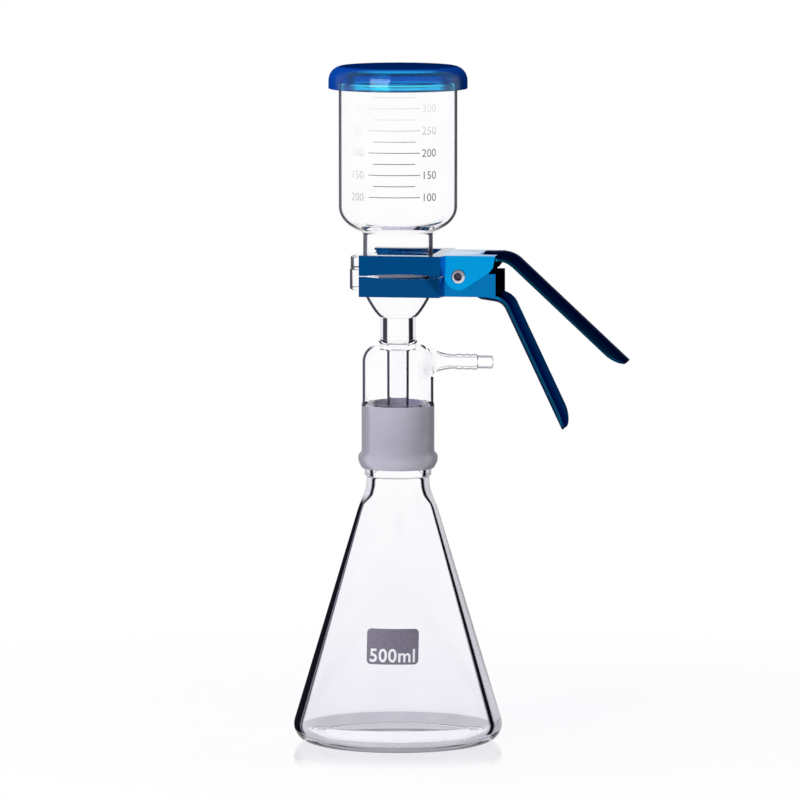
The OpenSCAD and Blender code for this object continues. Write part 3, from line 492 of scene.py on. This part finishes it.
hose_inside = (
    [(0, 0.0087), (root_bore, 0.0087)]
    + curve((root_bore, chamber_r - 0.002), (0.0045, chamber_r + 0.003), (hose_bore, ridge_start - 0.008),
            (hose_bore, ridge_start - 0.003), 10)
    + [(hose_bore, hose_end + 0.001), (0, hose_end + 0.001)])
lie_down = Matrix.Translation((0, 0, hose_z)) @ Matrix.Rotation(math.pi / 2, 4, "Y")
hose_solid = lathe("hose_outside", hose_outside, 64)
hose_solid.data.transform(lie_down)
hose_space = lathe("hose_inside", hose_inside, 64)
hose_space.data.transform(lie_down)
for operation, tool in (("UNION", hose_solid), ("DIFFERENCE", hose_space)):
    join = base.modifiers.new(operation, "BOOLEAN")
    join.operation = operation
    join.solver = "EXACT"
    join.object = tool
    bpy.ops.object.select_all(action="DESELECT")
    base.select_set(True)
    bpy.context.view_layer.objects.active = base
    bpy.ops.object.modifier_apply(modifier=join.name)
    bpy.data.objects.remove(tool)
bpy.ops.object.shade_smooth_by_angle(angle=math.radians(38))

# Colours of the painted shade lines along each outline of the base; the stem's starts with painted light
# outside it.
violet_line = [(0.0, "#77758a"), (0.4, "#403e4b"), (1.0, "#626071")]
stem_line = [(0.0, "#a5a2af"), (0.1, "#dddbe4"), (0.32, "#e4e2ea"), (0.4, "#44424f"), (0.88, "#3c3a46"),
             (1.0, "#6c6a78")]
drip_line = [(0.0, "#5c5a68"), (0.4, "#2c2a36"), (1.0, "#4c4a58")]
tip_line = [(0.0, "#918f9a"), (1.0, "#a3a1ae")]
joint_line = [(0.0, "#85828e"), (0.5, "#a09da8"), (1.0, "#d6d4dc")]
hose_axis = {"centre": (0, 0, hose_z), "flat": (0, 1, 1)}
dress(base,
      borosilicate("borosilicate_chamber", (0.0017, 0.0017), violet_line, bend=1.1),
      clear_bore("borosilicate_base_bore", bend=1.1),
      ground_glass("ground_glass_socket"),
      borosilicate("borosilicate_stem", (0.0044, 0.0044), stem_line, bend=1.1),
      borosilicate("borosilicate_drip_tube", (0.0015, 0.0015), drip_line, bend=1.1),
      borosilicate("borosilicate_hose_tip", (0.0009, 0.0009), tip_line, bend=1.25, **hose_axis),
      borosilicate("borosilicate_joint", (0.005, 0.005), joint_line),
      clear_bore("borosilicate_hose_root", "#eeedf3", 1.02),
      borosilicate("borosilicate_hose_bore", (0.0005, 0.0005), [(0.0, "#b0aeba"), (1.0, "#bcbac6")],
                   bend=1.1, inner=True, **hose_axis))
stem_faces, drip_faces, hose_faces, joint_faces, root_faces, hose_bore_faces = 3, 4, 5, 6, 7, 8
hair = 0.0003  # how far past a size a face's middle may lie
root_half, root_end = 0.0098, chamber_r + 0.0022
for face in base.data.polygons:
    x, y, z = face.center
    radius = math.hypot(x, y)
    from_hose = abs(z - hose_z)
    outward = outwardness(face) / max(radius, 1e-6)
    if x > 0.0165 and from_hose < root_half and radius < root_end - 0.001:
        face.use_smooth = False
    if joint_low - 0.0005 < z < joint_high + 0.001 and outward < -0.5 and radius > 0.015:
        face.material_index = ground_faces
    elif radius < drip_r + hair and z < dome_top - 0.001 and outward > 0.1:
        face.material_index = drip_faces
    elif outward > 0.1 and z < joint_high:
        face.material_index = joint_faces
    elif radius > chamber_r + 0.0002 and from_hose < 0.012 and x > 0:
        from_hose_axis = face.normal.y * y + face.normal.z * (z - hose_z)
        if x < root_end:
            face.material_index = root_faces
        else:
            face.material_index = hose_faces if from_hose_axis > 0 else hose_bore_faces
    elif x > 0.0155 and from_hose < root_half:
        face.material_index = root_faces
    elif x > 0.0145 and hose_z - 0.0125 < z < dome_top:
        face.material_index = root_faces
    elif outward < -0.1 or z < joint_high or radius < drip_bore + hair:
        face.material_index = bore_faces
    elif dome_top + 0.002 < z < stem_top + hair:
        face.material_index = stem_faces
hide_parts("filter_base")
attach(base, "stand")

# ---------------------------------------------------------------- sintered disc
# Glass grains fused to a porous white plate. It is fused in its seat in the flange, and
# the membrane is laid on it.
grains = new_material("sintered_glass")
t = grains.node_tree
place = add(t, "ShaderNodeTexCoord", {}, {})
# The pores are near 0.1 mm and are drawn at 0.5 mm, so that they show.
pores = add(t, "ShaderNodeTexVoronoi", {}, {"Vector": place.outputs["Object"], "Scale": 2000.0})
colour = add(t, "ShaderNodeValToRGB", {"stops": [(0.0, "#f4f3f6"), (0.7, "#dcdbe2")]},
             {"Fac": pores.outputs["Distance"]})
bump = add(t, "ShaderNodeBump", {}, {
    "Height": pores.outputs["Distance"], "Distance": 0.00008, "Strength": 0.7})
plate = add(t, "ShaderNodeBsdfPrincipled", {}, {
    "Base Color": colour.outputs["Color"], "Roughness": 0.85, "IOR": 1.47, "Normal": bump.outputs["Normal"]})
add(t, "ShaderNodeOutputMaterial", {}, {"Surface": plate.outputs[0]})
dress(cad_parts["frit_disc"], grains)

# ---------------------------------------------------------------- funnel
# A moulded and fire-polished glass cup on a short neck, with a ground flange that stands
# on the disc's rim. Its bottom runs into the neck in one soft curve.
funnel_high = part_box("funnel")[1]
cup_r, cup_rim, cup_wall, cup_corner = funnel_high.x, funnel_high.z, 0.0023, 0.015
neck_r, neck_bore, flange_r, flange_top = 0.0215, 0.0191, 0.0292, 0.3013
cup_bottom = flange_top + 0.016
cup_floor = cup_bottom + 0.003
inner_r = cup_r - cup_wall
funnel_section = (
    [(neck_bore, joint_face)]
    + arc(flange_r - rim_round, joint_face + rim_round, rim_round, -90, 0, 4)
    + arc(flange_r - rim_round, flange_top - rim_round, rim_round, 0, 90, 4)
    + curve((neck_r + 0.0014, flange_top), (neck_r + 0.0003, flange_top), (neck_r, flange_top + 0.0004),
            (neck_r, flange_top + 0.0018), 4)
    + curve((neck_r, cup_bottom - 0.0028), (neck_r, cup_bottom - 0.0014),
            (neck_r + 0.0012, cup_bottom - 0.001), (neck_r + 0.0036, cup_bottom + 0.0001), 7)
    + curve((neck_r + 0.0036, cup_bottom + 0.0001), (cup_r - cup_corner * 0.3, cup_bottom + 0.0037),
            (cup_r, cup_bottom + cup_corner * 0.55), (cup_r, cup_bottom + cup_corner), 16)
    + arc(cup_r - lip, cup_rim - lip, lip, 0, 90, 4)
    + arc(inner_r + lip, cup_rim - lip, lip, 90, 180, 4)
    + curve((inner_r, cup_bottom + cup_corner), (inner_r, cup_bottom + cup_corner * 0.6),
            (inner_r - cup_corner * 0.26, cup_floor + 0.0023), (neck_bore + 0.0026, cup_floor), 14)
    + curve((neck_bore + 0.0026, cup_floor), (neck_bore + 0.001, cup_floor - 0.0004),
            (neck_bore, cup_floor - 0.0009), (neck_bore, cup_floor - 0.0024), 6))
funnel = lathe("graduated_funnel", funnel_section + funnel_section[:1], 144)
# Colours of the painted shade line along the cup's outline.
grey_line = [(0.0, "#7c7c84"), (0.35, "#50505a"), (1.0, "#6c6c76")]
dress(funnel,
      borosilicate("borosilicate_funnel", (0.0026, 0.0006), grey_line, bend=1.1),
      clear_bore("borosilicate_funnel_bore", "#fbfafc", 1.1))
for face in funnel.data.polygons:
    cup_floor_face = face.normal.z > 0.3 and cup_bottom + 0.001 < face.center.z < cup_rim - 0.002
    if outwardness(face) < 0 or cup_floor_face:
        face.material_index = bore_faces
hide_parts("funnel")
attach(funnel, "stand")

# ---------------------------------------------------------------- printed scale
# Ceramic ink, screen printed on the outside of the cup and fired: a line for each 25 ml
# and a figure beside each second one. The print thins towards the rim, and to the left it fades under a
# painted highlight.
scale_ink = enamel("fired_ink_grey", "#84818a", "#9a979f", grain=1800.0)
faint_ink = enamel("fired_ink_pale", "#a4a2aa", "#b4b2ba", grain=1800.0)
# Between a low and a high point, each ink thins from its most to its least cover.
for ink, low, high, most, least in (
        (scale_ink, 0.36, 0.384, 1.0, 0.13),
        (faint_ink, 0.341, 0.384, 0.7, 0.06)):
    t = ink.node_tree
    place = add(t, "ShaderNodeTexCoord", {}, {})
    lift = add(t, "ShaderNodeSeparateXYZ", {}, {"Vector": place.outputs["Object"]})
    thin = add(t, "ShaderNodeMapRange", {}, {
        "Value": lift.outputs["Z"], "From Min": low, "From Max": high, "To Min": most, "To Max": least})
    # Painted highlight: to the left the cover falls to half, so the print fades to white there.
    highlight_fade = add(t, "ShaderNodeMapRange", {}, {
        "Value": lift.outputs["X"], "From Min": -0.024, "From Max": 0.006, "To Min": 0.5, "To Max": 1.0})
    cover = add(t, "ShaderNodeMath", {"operation": "MULTIPLY"}, {0: thin.outputs[0], 1: highlight_fade.outputs[0]})
    coat = next(n for n in t.nodes if n.type == "BSDF_PRINCIPLED")
    t.links.new(cover.outputs[0], coat.inputs["Alpha"])
dress(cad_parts["funnel_scale"], scale_ink)
mark_low, mark_step = cup_bottom + 0.0226, 0.0136
figure_h, figures_right, figures_left = 0.0048, 0.0226, -0.0248
for i in range(5):
    z = mark_low + i * mark_step
    for side, figures, ink, off in (
            ("right", 100 + 50 * i, scale_ink, figures_right),
            ("left", 200 - 50 * i, faint_ink, figures_left)):
        piece = lettering("scale_%s_%d" % (side, i), str(figures), figure_h, z - figure_h / 2,
                          print_turn + off / cup_r, lambda height: cup_r + 0.00005)
        dress(piece, ink)
        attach(piece, "stand")

# ---------------------------------------------------------------- lid
# A cap moulded in clear blue polystyrene. Its skirt goes over the cup's rim, and a ring
# under its top goes inside it. The plastic is pale across a wall and navy along it, partly from the dye and
# partly as painted shade.
lid_low, lid_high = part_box("lid")
lid_r, lid_edge, lid_top_t, lid_skirt, lid_round = lid_high.x, 0.009, 0.0022, 0.0018, 0.0004
skirt_in = lid_r - lid_skirt
under = lid_high.z - lid_top_t
plug_r = inner_r - 0.0003
ledge = plug_r + cup_wall + 0.0015
edge_in = lid_edge - lid_top_t
seat_turn = math.degrees(math.acos((ledge - skirt_in + edge_in) / edge_in))
plug_in, plug_low = plug_r - 0.002, lid_low.z + 0.001
lid_section = (
    [(0, lid_high.z), (0, under), (plug_in, under), (plug_in, plug_low), (plug_r - 0.0006, plug_low),
     (plug_r, plug_low + 0.0006), (plug_r, cup_rim), (ledge, cup_rim)]
    + arc(skirt_in - edge_in, under - edge_in, edge_in, seat_turn, 0, 8)
    + arc(skirt_in + lid_round, lid_low.z + lid_round, lid_round, 180, 270, 3)
    + arc(lid_r - lid_round, lid_low.z + lid_round, lid_round, -90, 0, 3)
    + arc(lid_r - lid_edge, lid_high.z - lid_edge, lid_edge, 0, 90, 12)
    + [(0, lid_high.z)])
lid = lathe("blue_cap", lid_section, 144)
styrene = new_material("blue_polystyrene")
t = styrene.node_tree
place = add(t, "ShaderNodeTexCoord", {}, {})
flow = add(t, "ShaderNodeTexNoise", {}, {"Vector": place.outputs["Object"], "Scale": 60.0, "Detail": 2.0})
bump = add(t, "ShaderNodeBump", {}, {"Height": flow.outputs["Fac"], "Distance": 0.00008, "Strength": 1.0})
depth = add(t, "ShaderNodeValToRGB", {"stops": [(0.3, "#f0fbff"), (0.7, "#e4f6ff")]},
            {"Fac": flow.outputs["Fac"]})
# Partly the dye's long path, partly painted shade: the plastic seen at a slant is darkened towards navy.
slant = add(t, "ShaderNodeLayerWeight", {}, {"Blend": 0.5})
along = add(t, "ShaderNodeValToRGB", {"stops": [(0.4, "#ffffff"), (0.66, "#4a7cc8")]},
            {"Fac": slant.outputs["Facing"]})
depth = add(t, "ShaderNodeMix", {"data_type": "RGBA", "blend_type": "MULTIPLY"},
            {0: 1.0, 6: depth.outputs["Color"], 7: along.outputs["Color"]})
# The skirt's lower edge stands alone, and is paler than what has the ring behind it.
lift = add(t, "ShaderNodeSeparateXYZ", {}, {"Vector": place.outputs["Object"]})
backed = add(t, "ShaderNodeMapRange", {}, {
    "Value": lift.outputs["Z"], "From Min": lid_low.z + 0.0036, "From Max": lid_low.z + 0.0044})
doubled = add(t, "ShaderNodeValToRGB", {"stops": [(0.0, "#ffffff"), (1.0, "#96d6f0")]},
              {"Fac": backed.outputs[0]})
depth = add(t, "ShaderNodeMix", {"data_type": "RGBA", "blend_type": "MULTIPLY"},
            {0: 1.0, 6: depth.outputs[2], 7: doubled.outputs["Color"]})
clear_blue = add(t, "ShaderNodeBsdfPrincipled", {}, {
    "Base Color": depth.outputs[2], "Roughness": 0.04, "IOR": 1.5, "Transmission Weight": 1.0,
    "Specular IOR Level": 0.4, "Normal": bump.outputs["Normal"]})
# Painted shade: a matt navy takes over where the wall is seen edge-on.
rim = add(t, "ShaderNodeMapRange", {"interpolation_type": "SMOOTHSTEP"}, {
    "Value": slant.outputs["Facing"], "From Min": 0.34, "From Max": 0.62})
navy = add(t, "ShaderNodeBsdfDiffuse", {}, {"Color": linear("#06388c")})
clear_blue = add(t, "ShaderNodeMixShader", {}, {
    0: rim.outputs[0], 1: clear_blue.outputs[0], 2: navy.outputs[0]})
dye = add(t, "ShaderNodeVolumeAbsorption", {}, {"Color": linear("#00f4fc"), "Density": 700.0})
surface = let_lamps_through(t, clear_blue, "#86bdf0")
t.links.new(dye.outputs[0], surface.inputs["Volume"])
# The flat of the top is textured in the mould, so it takes light in and gives little back.
textured = new_material("blue_polystyrene_textured")
t = textured.node_tree
place = add(t, "ShaderNodeTexCoord", {}, {})
pits = add(t, "ShaderNodeTexNoise", {}, {"Vector": place.outputs["Object"], "Scale": 900.0, "Detail": 2.0})
colour = add(t, "ShaderNodeValToRGB", {"stops": [(0.35, "#001a4e"), (0.7, "#002466")]},
             {"Fac": pits.outputs["Fac"]})
bump = add(t, "ShaderNodeBump", {}, {"Height": pits.outputs["Fac"], "Distance": 0.00003, "Strength": 1.0})
matt_blue = add(t, "ShaderNodeBsdfPrincipled", {}, {
    "Base Color": colour.outputs[0], "Roughness": 0.5, "Specular IOR Level": 0.0,
    "Normal": bump.outputs["Normal"]})
add(t, "ShaderNodeOutputMaterial", {}, {"Surface": matt_blue.outputs[0]})
dress(lid, styrene, textured)
textured_faces = 1
for face in lid.data.polygons:
    if face.normal.z > 0.95 and face.center.z > lid_high.z - hair:
        face.material_index = textured_faces
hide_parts("lid")
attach(lid, "stand")

# ---------------------------------------------------------------- clamp jaws
# Two jaws pressed from 1.5 mm aluminium sheet and dyed blue in the anodising bath. Their
# lips hold the two glass flanges together, and their arched handles open them.


# Anodised aluminium keeps the sheet's satin, and what is seen at a slant is darkened with
# painted shade. The rolling lines run along the sheet.
def anodised(name, lit_and_shaded_zones, roughness, rim="#c4c8da", glance="#ffffff"):
    made = new_material(name)
    t = made.node_tree
    place = add(t, "ShaderNodeTexCoord", {}, {})
    lines = add(t, "ShaderNodeMapping", {}, {
        "Vector": place.outputs["Object"], "Scale": (30.0, 900.0, 900.0)})
    rolled = add(t, "ShaderNodeTexNoise", {}, {
        "Vector": lines.outputs["Vector"], "Scale": 1.0, "Detail": 3.0})
    blotch = add(t, "ShaderNodeTexNoise", {}, {
        "Vector": place.outputs["Object"], "Scale": 40.0, "Detail": 2.0})
    # The colours along X are painted light and shade over one dyed blue.
    apart = add(t, "ShaderNodeSeparateXYZ", {}, {"Vector": place.outputs["Object"]})
    along = add(t, "ShaderNodeMapRange", {}, {
        "Value": apart.outputs["X"], "From Min": -0.02, "From Max": 0.08})
    dye = add(t, "ShaderNodeValToRGB", {"stops": lit_and_shaded_zones}, {"Fac": along.outputs[0]})
    # Painted shade: faces seen at a slant are darkened towards rim.
    edge = add(t, "ShaderNodeLayerWeight", {}, {"Blend": 0.35})
    slant_painted_shade = add(t, "ShaderNodeValToRGB", {"stops": [(0.2, "#ffffff"), (0.9, rim)]},
                  {"Fac": edge.outputs["Facing"]})
    dyed = add(t, "ShaderNodeMix", {"data_type": "RGBA", "blend_type": "MULTIPLY"},
               {0: 1.0, 6: dye.outputs["Color"], 7: slant_painted_shade.outputs["Color"]})
    patchy = add(t, "ShaderNodeMapRange", {}, {
        "Value": blotch.outputs["Fac"], "To Min": 0.94, "To Max": 1.05})
    tone = add(t, "ShaderNodeMix", {"data_type": "RGBA", "blend_type": "MULTIPLY"},
               {0: 1.0, 6: dyed.outputs[2], 7: patchy.outputs["Result"]})
    satin = add(t, "ShaderNodeMapRange", {}, {
        "Value": rolled.outputs["Fac"], "To Min": roughness - 0.05, "To Max": roughness + 0.06})
    bump = add(t, "ShaderNodeBump", {}, {
        "Height": rolled.outputs["Fac"], "Distance": 0.00001, "Strength": 0.6})
    metal = add(t, "ShaderNodeBsdfPrincipled", {}, {
        "Base Color": tone.outputs[2], "Metallic": 1.0, "Roughness": satin.outputs["Result"],
        "Specular Tint": linear(glance), "Normal": bump.outputs["Normal"]})
    add(t, "ShaderNodeOutputMaterial", {}, {"Surface": metal.outputs[0]})
    return made


def merged_copy(node, name, angle=30):
    """A copy of a solid of the frame with its loose triangles joined and shaded smooth."""
    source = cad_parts[node]
    piece = bpy.data.objects.new(name, source.data.copy())
    bpy.context.collection.objects.link(piece)
    piece.data.name = name
    bpy.ops.object.select_all(action="DESELECT")
    piece.select_set(True)
    bpy.context.view_layer.objects.active = piece
    bpy.ops.object.mode_set(mode="EDIT")
    bpy.ops.mesh.select_all(action="SELECT")
    bpy.ops.mesh.remove_doubles(threshold=1e-6)
    bpy.ops.mesh.dissolve_limited(angle_limit=math.radians(0.5), delimit={"NORMAL"})
    bpy.ops.object.mode_set(mode="OBJECT")
    piece.data.materials.clear()
    for face in piece.data.polygons:
        face.material_index = 0
    bpy.ops.object.shade_smooth_by_angle(angle=math.radians(angle))
    return piece


# Where, along X, the walls' inner sides, the folds, the arch and the handles begin.
inner_x, fold_x, arch_x, tail_x, handle_x = 0.03, 0.048, 0.055, 0.06, 0.0675
# Each jaw's arm, hinge and handle colours are painted light and shade over one blue; the lower jaw's are
# painted apart from the upper's.
for node, body, slot, arms, hinge, handle in (
        ("lower_jaw", "stand", "lower_anodised", "#08508a", "#0a80c6", "#0e4e6e"),
        ("upper_jaw", "upper_clamp", "upper_anodised", "#02508e", "#06a8f0", "#063c58")):
    jaw = merged_copy(node, node + "_anodised")
    soft = jaw.modifiers.new("edges", "BEVEL")
    soft.width = 0.00025
    soft.segments = 2
    soft.limit_method = "ANGLE"
    soft.angle_limit = math.radians(50)
    soft.harden_normals = False
    bpy.ops.object.modifier_apply(modifier=soft.name)
    bpy.ops.object.shade_smooth_by_angle(angle=math.radians(32))
    lit_and_shaded_zones = [(0.0, arms), (0.5, arms), (0.52, hinge), (0.84, hinge), (0.88, handle), (1.0, handle)]
    handle_painted_shade = [(0.0, handle), (1.0, handle)]
    inside_painted_shade = [(0.0, "#020c24"), (1.0, "#020a1e")]
    dress(jaw,
          anodised("anodised_" + node, lit_and_shaded_zones, 0.24),
          anodised("anodised_%s_flat" % node, lit_and_shaded_zones, 0.11),
          anodised("anodised_%s_handle" % node, handle_painted_shade, 0.36, "#b4bcd8", "#507290"),
          anodised("anodised_%s_inside" % node, inside_painted_shade, 0.4, "#8088a8", "#283048"))
    # The handle starts behind the hinge. The handles take a dark painted shade, and the folds and inner
    # sides a near-black painted shade.
    flat_faces, handle_faces, shaded_inside_faces = 1, 2, 3
    for face in jaw.data.polygons:
        x, y, z = face.center
        up, level = face.normal.z, abs(face.normal.y) < 0.5
        arched = (x > arch_x and up > 0.9) or (x > fold_x - 0.003 and up < -0.3)
        if x > handle_x or (x > tail_x and level) or arched:
            face.material_index = handle_faces
        elif (x > inner_x and face.normal.y * y < -0.0001) or (x > fold_x and level and abs(up) < 0.8):
            face.material_index = shaded_inside_faces
        elif 0.3 < abs(up) < 0.95 and abs(face.normal.y) > 0.3:
            face.material_index = shaded_inside_faces
        elif abs(up) > 0.8:
            face.material_index = flat_faces
    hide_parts(node)
    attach(jaw, body)

# ---------------------------------------------------------------- pivot screw and nut
# A plated pan-head screw with a cross recess goes through all four ears and the spring's
# coil, and a plated lock nut closes it at the back.


# Nickel plating is a bright, slightly warm mirror with faint turning marks.
def plated(name, code, roughness, recess=None):
    made = new_material(name)
    t = made.node_tree
    place = add(t, "ShaderNodeTexCoord", {}, {})
    marks = add(t, "ShaderNodeTexNoise", {}, {
        "Vector": place.outputs["Object"], "Scale": 1200.0, "Detail": 2.0})
    wear = add(t, "ShaderNodeMapRange", {}, {
        "Value": marks.outputs["Fac"], "To Min": roughness * 0.7, "To Max": roughness * 1.5})
    colour = add(t, "ShaderNodeValToRGB", {"stops": [(0.3, code), (0.8, "#e4e3e6")]},
                 {"Fac": marks.outputs["Fac"]}).outputs["Color"]
    if recess:
        # Painted shade darkens the recess and the middle of the head.
        off = add(t, "ShaderNodeVectorMath", {"operation": "SUBTRACT"}, {
            0: place.outputs["Object"], 1: recess})
        flat = add(t, "ShaderNodeVectorMath", {"operation": "MULTIPLY"}, {0: off.outputs[0], 1: (1, 0, 1)})
        out = add(t, "ShaderNodeVectorMath", {"operation": "LENGTH"}, {0: flat.outputs[0]})
        reach = add(t, "ShaderNodeMapRange", {}, {"Value": out.outputs["Value"], "From Max": 0.0044})
        recess_shade_stops = [(0.0, "#5a5464"), (0.5, "#4a4456"), (0.66, "#e8e8f2"), (1.0, "#ffffff")]
        recess_shade = add(t, "ShaderNodeValToRGB", {"stops": recess_shade_stops}, {"Fac": reach.outputs[0]})
        colour = add(t, "ShaderNodeMix", {"data_type": "RGBA", "blend_type": "MULTIPLY"},
                     {0: 1.0, 6: colour, 7: recess_shade.outputs["Color"]}).outputs[2]
    bump = add(t, "ShaderNodeBump", {}, {
        "Height": marks.outputs["Fac"], "Distance": 0.00001, "Strength": 0.5})
    metal = add(t, "ShaderNodeBsdfPrincipled", {}, {
        "Base Color": colour, "Metallic": 1.0, "Roughness": wear.outputs["Result"],
        "Normal": bump.outputs["Normal"]})
    add(t, "ShaderNodeOutputMaterial", {}, {"Surface": metal.outputs[0]})
    return made


for node, slot, name in (
        ("pivot_screw", "plated_screw", "cross_recess_screw"),
        ("lock_nut", "plated_nut", "hexagon_nut")):
    part = merged_copy(node, name)
    low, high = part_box(node)
    dress(part, plated("nickel_plated_" + node, "#e2e1e4", 0.16, (low + high) / 2))
    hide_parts(node)
    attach(part, "stand")

# ---------------------------------------------------------------- torsion spring
# Bright spring wire wound round the screw between the ears. Its two legs press the
# plates of the jaws apart behind the pivot, which closes the lips on the glass.
spring = merged_copy("torsion_spring", "wound_spring", 60)
dress(spring, plated("spring_steel_wire", "#b4b3b2", 0.28))
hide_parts("torsion_spring")
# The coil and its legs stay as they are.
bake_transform(spring)

# ---------------------------------------------------------------- studio
# A plain pale floor, a soft box on the left of the camera, a wide one overhead and a third
# for the lid. Seen straight, through glass or in metal, the floor is white.
floor_paint = new_material("matt_white_floor")
t = floor_paint.node_tree
rays = add(t, "ShaderNodeLightPath", {}, {})
direct = add(t, "ShaderNodeMath", {"operation": "MAXIMUM"},
             {0: rays.outputs["Is Camera Ray"], 1: rays.outputs["Is Transmission Ray"]})
seen = add(t, "ShaderNodeMath", {"operation": "MAXIMUM"}, {
    0: direct.outputs[0], 1: rays.outputs["Is Glossy Ray"]})
place = add(t, "ShaderNodeTexCoord", {}, {})
away = add(t, "ShaderNodeVectorMath", {"operation": "LENGTH"}, {0: place.outputs["Object"]})
far = add(t, "ShaderNodeMapRange", {"interpolation_type": "SMOOTHSTEP"}, {
    "Value": away.outputs["Value"], "From Min": 0.16, "From Max": 0.6})
paint = add(t, "ShaderNodeBsdfDiffuse", {}, {"Color": linear("#8a8a8c")})
glow = add(t, "ShaderNodeEmission", {}, {"Color": linear("#ffffff"), "Strength": 0.77})
matt = add(t, "ShaderNodeAddShader", {}, {0: paint.outputs[0], 1: glow.outputs[0]})
polish = add(t, "ShaderNodeBsdfGlossy", {}, {"Color": linear("#ffffff"), "Roughness": 0.06})
close = add(t, "ShaderNodeMapRange", {"interpolation_type": "SMOOTHSTEP"}, {
    "Value": away.outputs["Value"], "From Min": 0.07, "From Max": 0.13, "To Min": 0.35, "To Max": 0.0})
mirror = add(t, "ShaderNodeMath", {"operation": "MULTIPLY"}, {
    0: close.outputs[0], 1: rays.outputs["Is Camera Ray"]})
near_floor = add(t, "ShaderNodeMixShader", {}, {
    0: mirror.outputs[0], 1: matt.outputs[0], 2: polish.outputs[0]})
white = add(t, "ShaderNodeEmission", {}, {"Color": linear("#ffffff"), "Strength": 1.0})
pale = add(t, "ShaderNodeMixShader", {}, {0: far.outputs[0], 1: near_floor.outputs[0], 2: white.outputs[0]})
mixed = add(t, "ShaderNodeMixShader", {}, {0: seen.outputs[0], 1: paint.outputs[0], 2: pale.outputs[0]})
add(t, "ShaderNodeOutputMaterial", {}, {"Surface": mixed.outputs[0]})
bpy.ops.object.select_all(action="DESELECT")
bpy.ops.mesh.primitive_plane_add(size=12.0, location=(0, 0, 0))
floor = bpy.context.object
floor.name = "studio_floor"
dress(floor, floor_paint)

# The room is dim in front and overhead, with a white backdrop low behind the object. Seen
# straight or through glass, it is white all round.
world = bpy.data.worlds.new("studio_room")
bpy.context.scene.world = world
world.use_nodes = True
t = world.node_tree
t.nodes.clear()
rays = add(t, "ShaderNodeLightPath", {}, {})
seen = add(t, "ShaderNodeMath", {"operation": "MAXIMUM"},
           {0: rays.outputs["Is Camera Ray"], 1: rays.outputs["Is Transmission Ray"]})
where = add(t, "ShaderNodeTexCoord", {}, {})
apart = add(t, "ShaderNodeSeparateXYZ", {}, {"Vector": where.outputs["Generated"]})
height = add(t, "ShaderNodeMapRange", {}, {"Value": apart.outputs["Z"], "From Min": -0.2, "From Max": 1.0})
room = add(t, "ShaderNodeValToRGB", {"stops": [(0.0, "#c6c7cc"), (0.3, "#b4b5ba"), (1.0, "#8c8e94")]},
           {"Fac": height.outputs[0]})
back = add(t, "ShaderNodeMapRange", {}, {"Value": apart.outputs["Y"], "From Min": 0.1, "From Max": 0.5})
low = add(t, "ShaderNodeMapRange", {}, {
    "Value": apart.outputs["Z"], "From Min": 0.25, "From Max": 0.5, "To Min": 1.0, "To Max": 0.0})
drop = add(t, "ShaderNodeMath", {"operation": "MULTIPLY"}, {0: back.outputs[0], 1: low.outputs[0]})
colour = add(t, "ShaderNodeMix", {"data_type": "RGBA"}, {
    0: drop.outputs[0], 6: room.outputs[0], 7: linear("#ffffff")})
around = add(t, "ShaderNodeBackground", {}, {"Color": colour.outputs[2], "Strength": 1.0})
white = add(t, "ShaderNodeBackground", {}, {"Color": linear("#ffffff"), "Strength": 1.0})
mixed = add(t, "ShaderNodeMixShader", {}, {0: seen.outputs[0], 1: around.outputs[0], 2: white.outputs[0]})
add(t, "ShaderNodeOutputWorld", {}, {"Surface": mixed.outputs[0]})

middle = Vector((0.0, 0.0, 0.212))
for name, place, size, power in (
        ("key_lamp", (-1.05, -1.93, 0.95), (1.0, 1.8), 40.0),
        ("top_lamp", (0.1, 0.2, 2.0), (1.2, 1.2), 10.0),
        ("lid_lamp", (-0.85, -2.0, 0.95), (1.3, 1.8), 26.0)):
    lamp = bpy.data.lights.new(name, "AREA")
    lamp.shape = "RECTANGLE"
    lamp.size, lamp.size_y = size
    lamp.energy = power
    holder = bpy.data.objects.new(name, lamp)
    bpy.context.collection.objects.link(holder)
    holder.location = place
    if name == "lid_lamp":
        # Its window is caught by the lid alone.
        lit = bpy.data.collections.new("lit_by_lid_lamp")
        lit.objects.link(lid)
        holder.light_linking.receiver_collection = lit
    else:
        holder.visible_glossy = False
        holder.visible_transmission = False
    holder.rotation_euler = (middle - Vector(place)).to_track_quat("-Z", "Y").to_euler()

# The camera stands a little to the right and above, and looks just beside the middle.
turn, rise, distance, beside = math.radians(8.5), math.radians(6.0), 4.5, 0.00124
aim = middle + beside * Vector((math.cos(turn), math.sin(turn), 0))
back_off = Vector((math.sin(turn) * math.cos(rise), -math.cos(turn) * math.cos(rise), math.sin(rise)))
eye = aim + distance * back_off
lens = bpy.data.cameras.new("studio_camera")
lens.lens = 328.0
lens.sensor_width = 36.0
lens.clip_end = 30.0
camera = bpy.data.objects.new("studio_camera", lens)
bpy.context.collection.objects.link(camera)
camera.location = eye
camera.rotation_euler = (aim - eye).to_track_quat("-Z", "Y").to_euler()
scene = bpy.context.scene
scene.camera = camera
scene.view_settings.view_transform = "Standard"
scene.cycles.max_bounces = 32
scene.cycles.transmission_bounces = 32
scene.cycles.transparent_max_bounces = 32
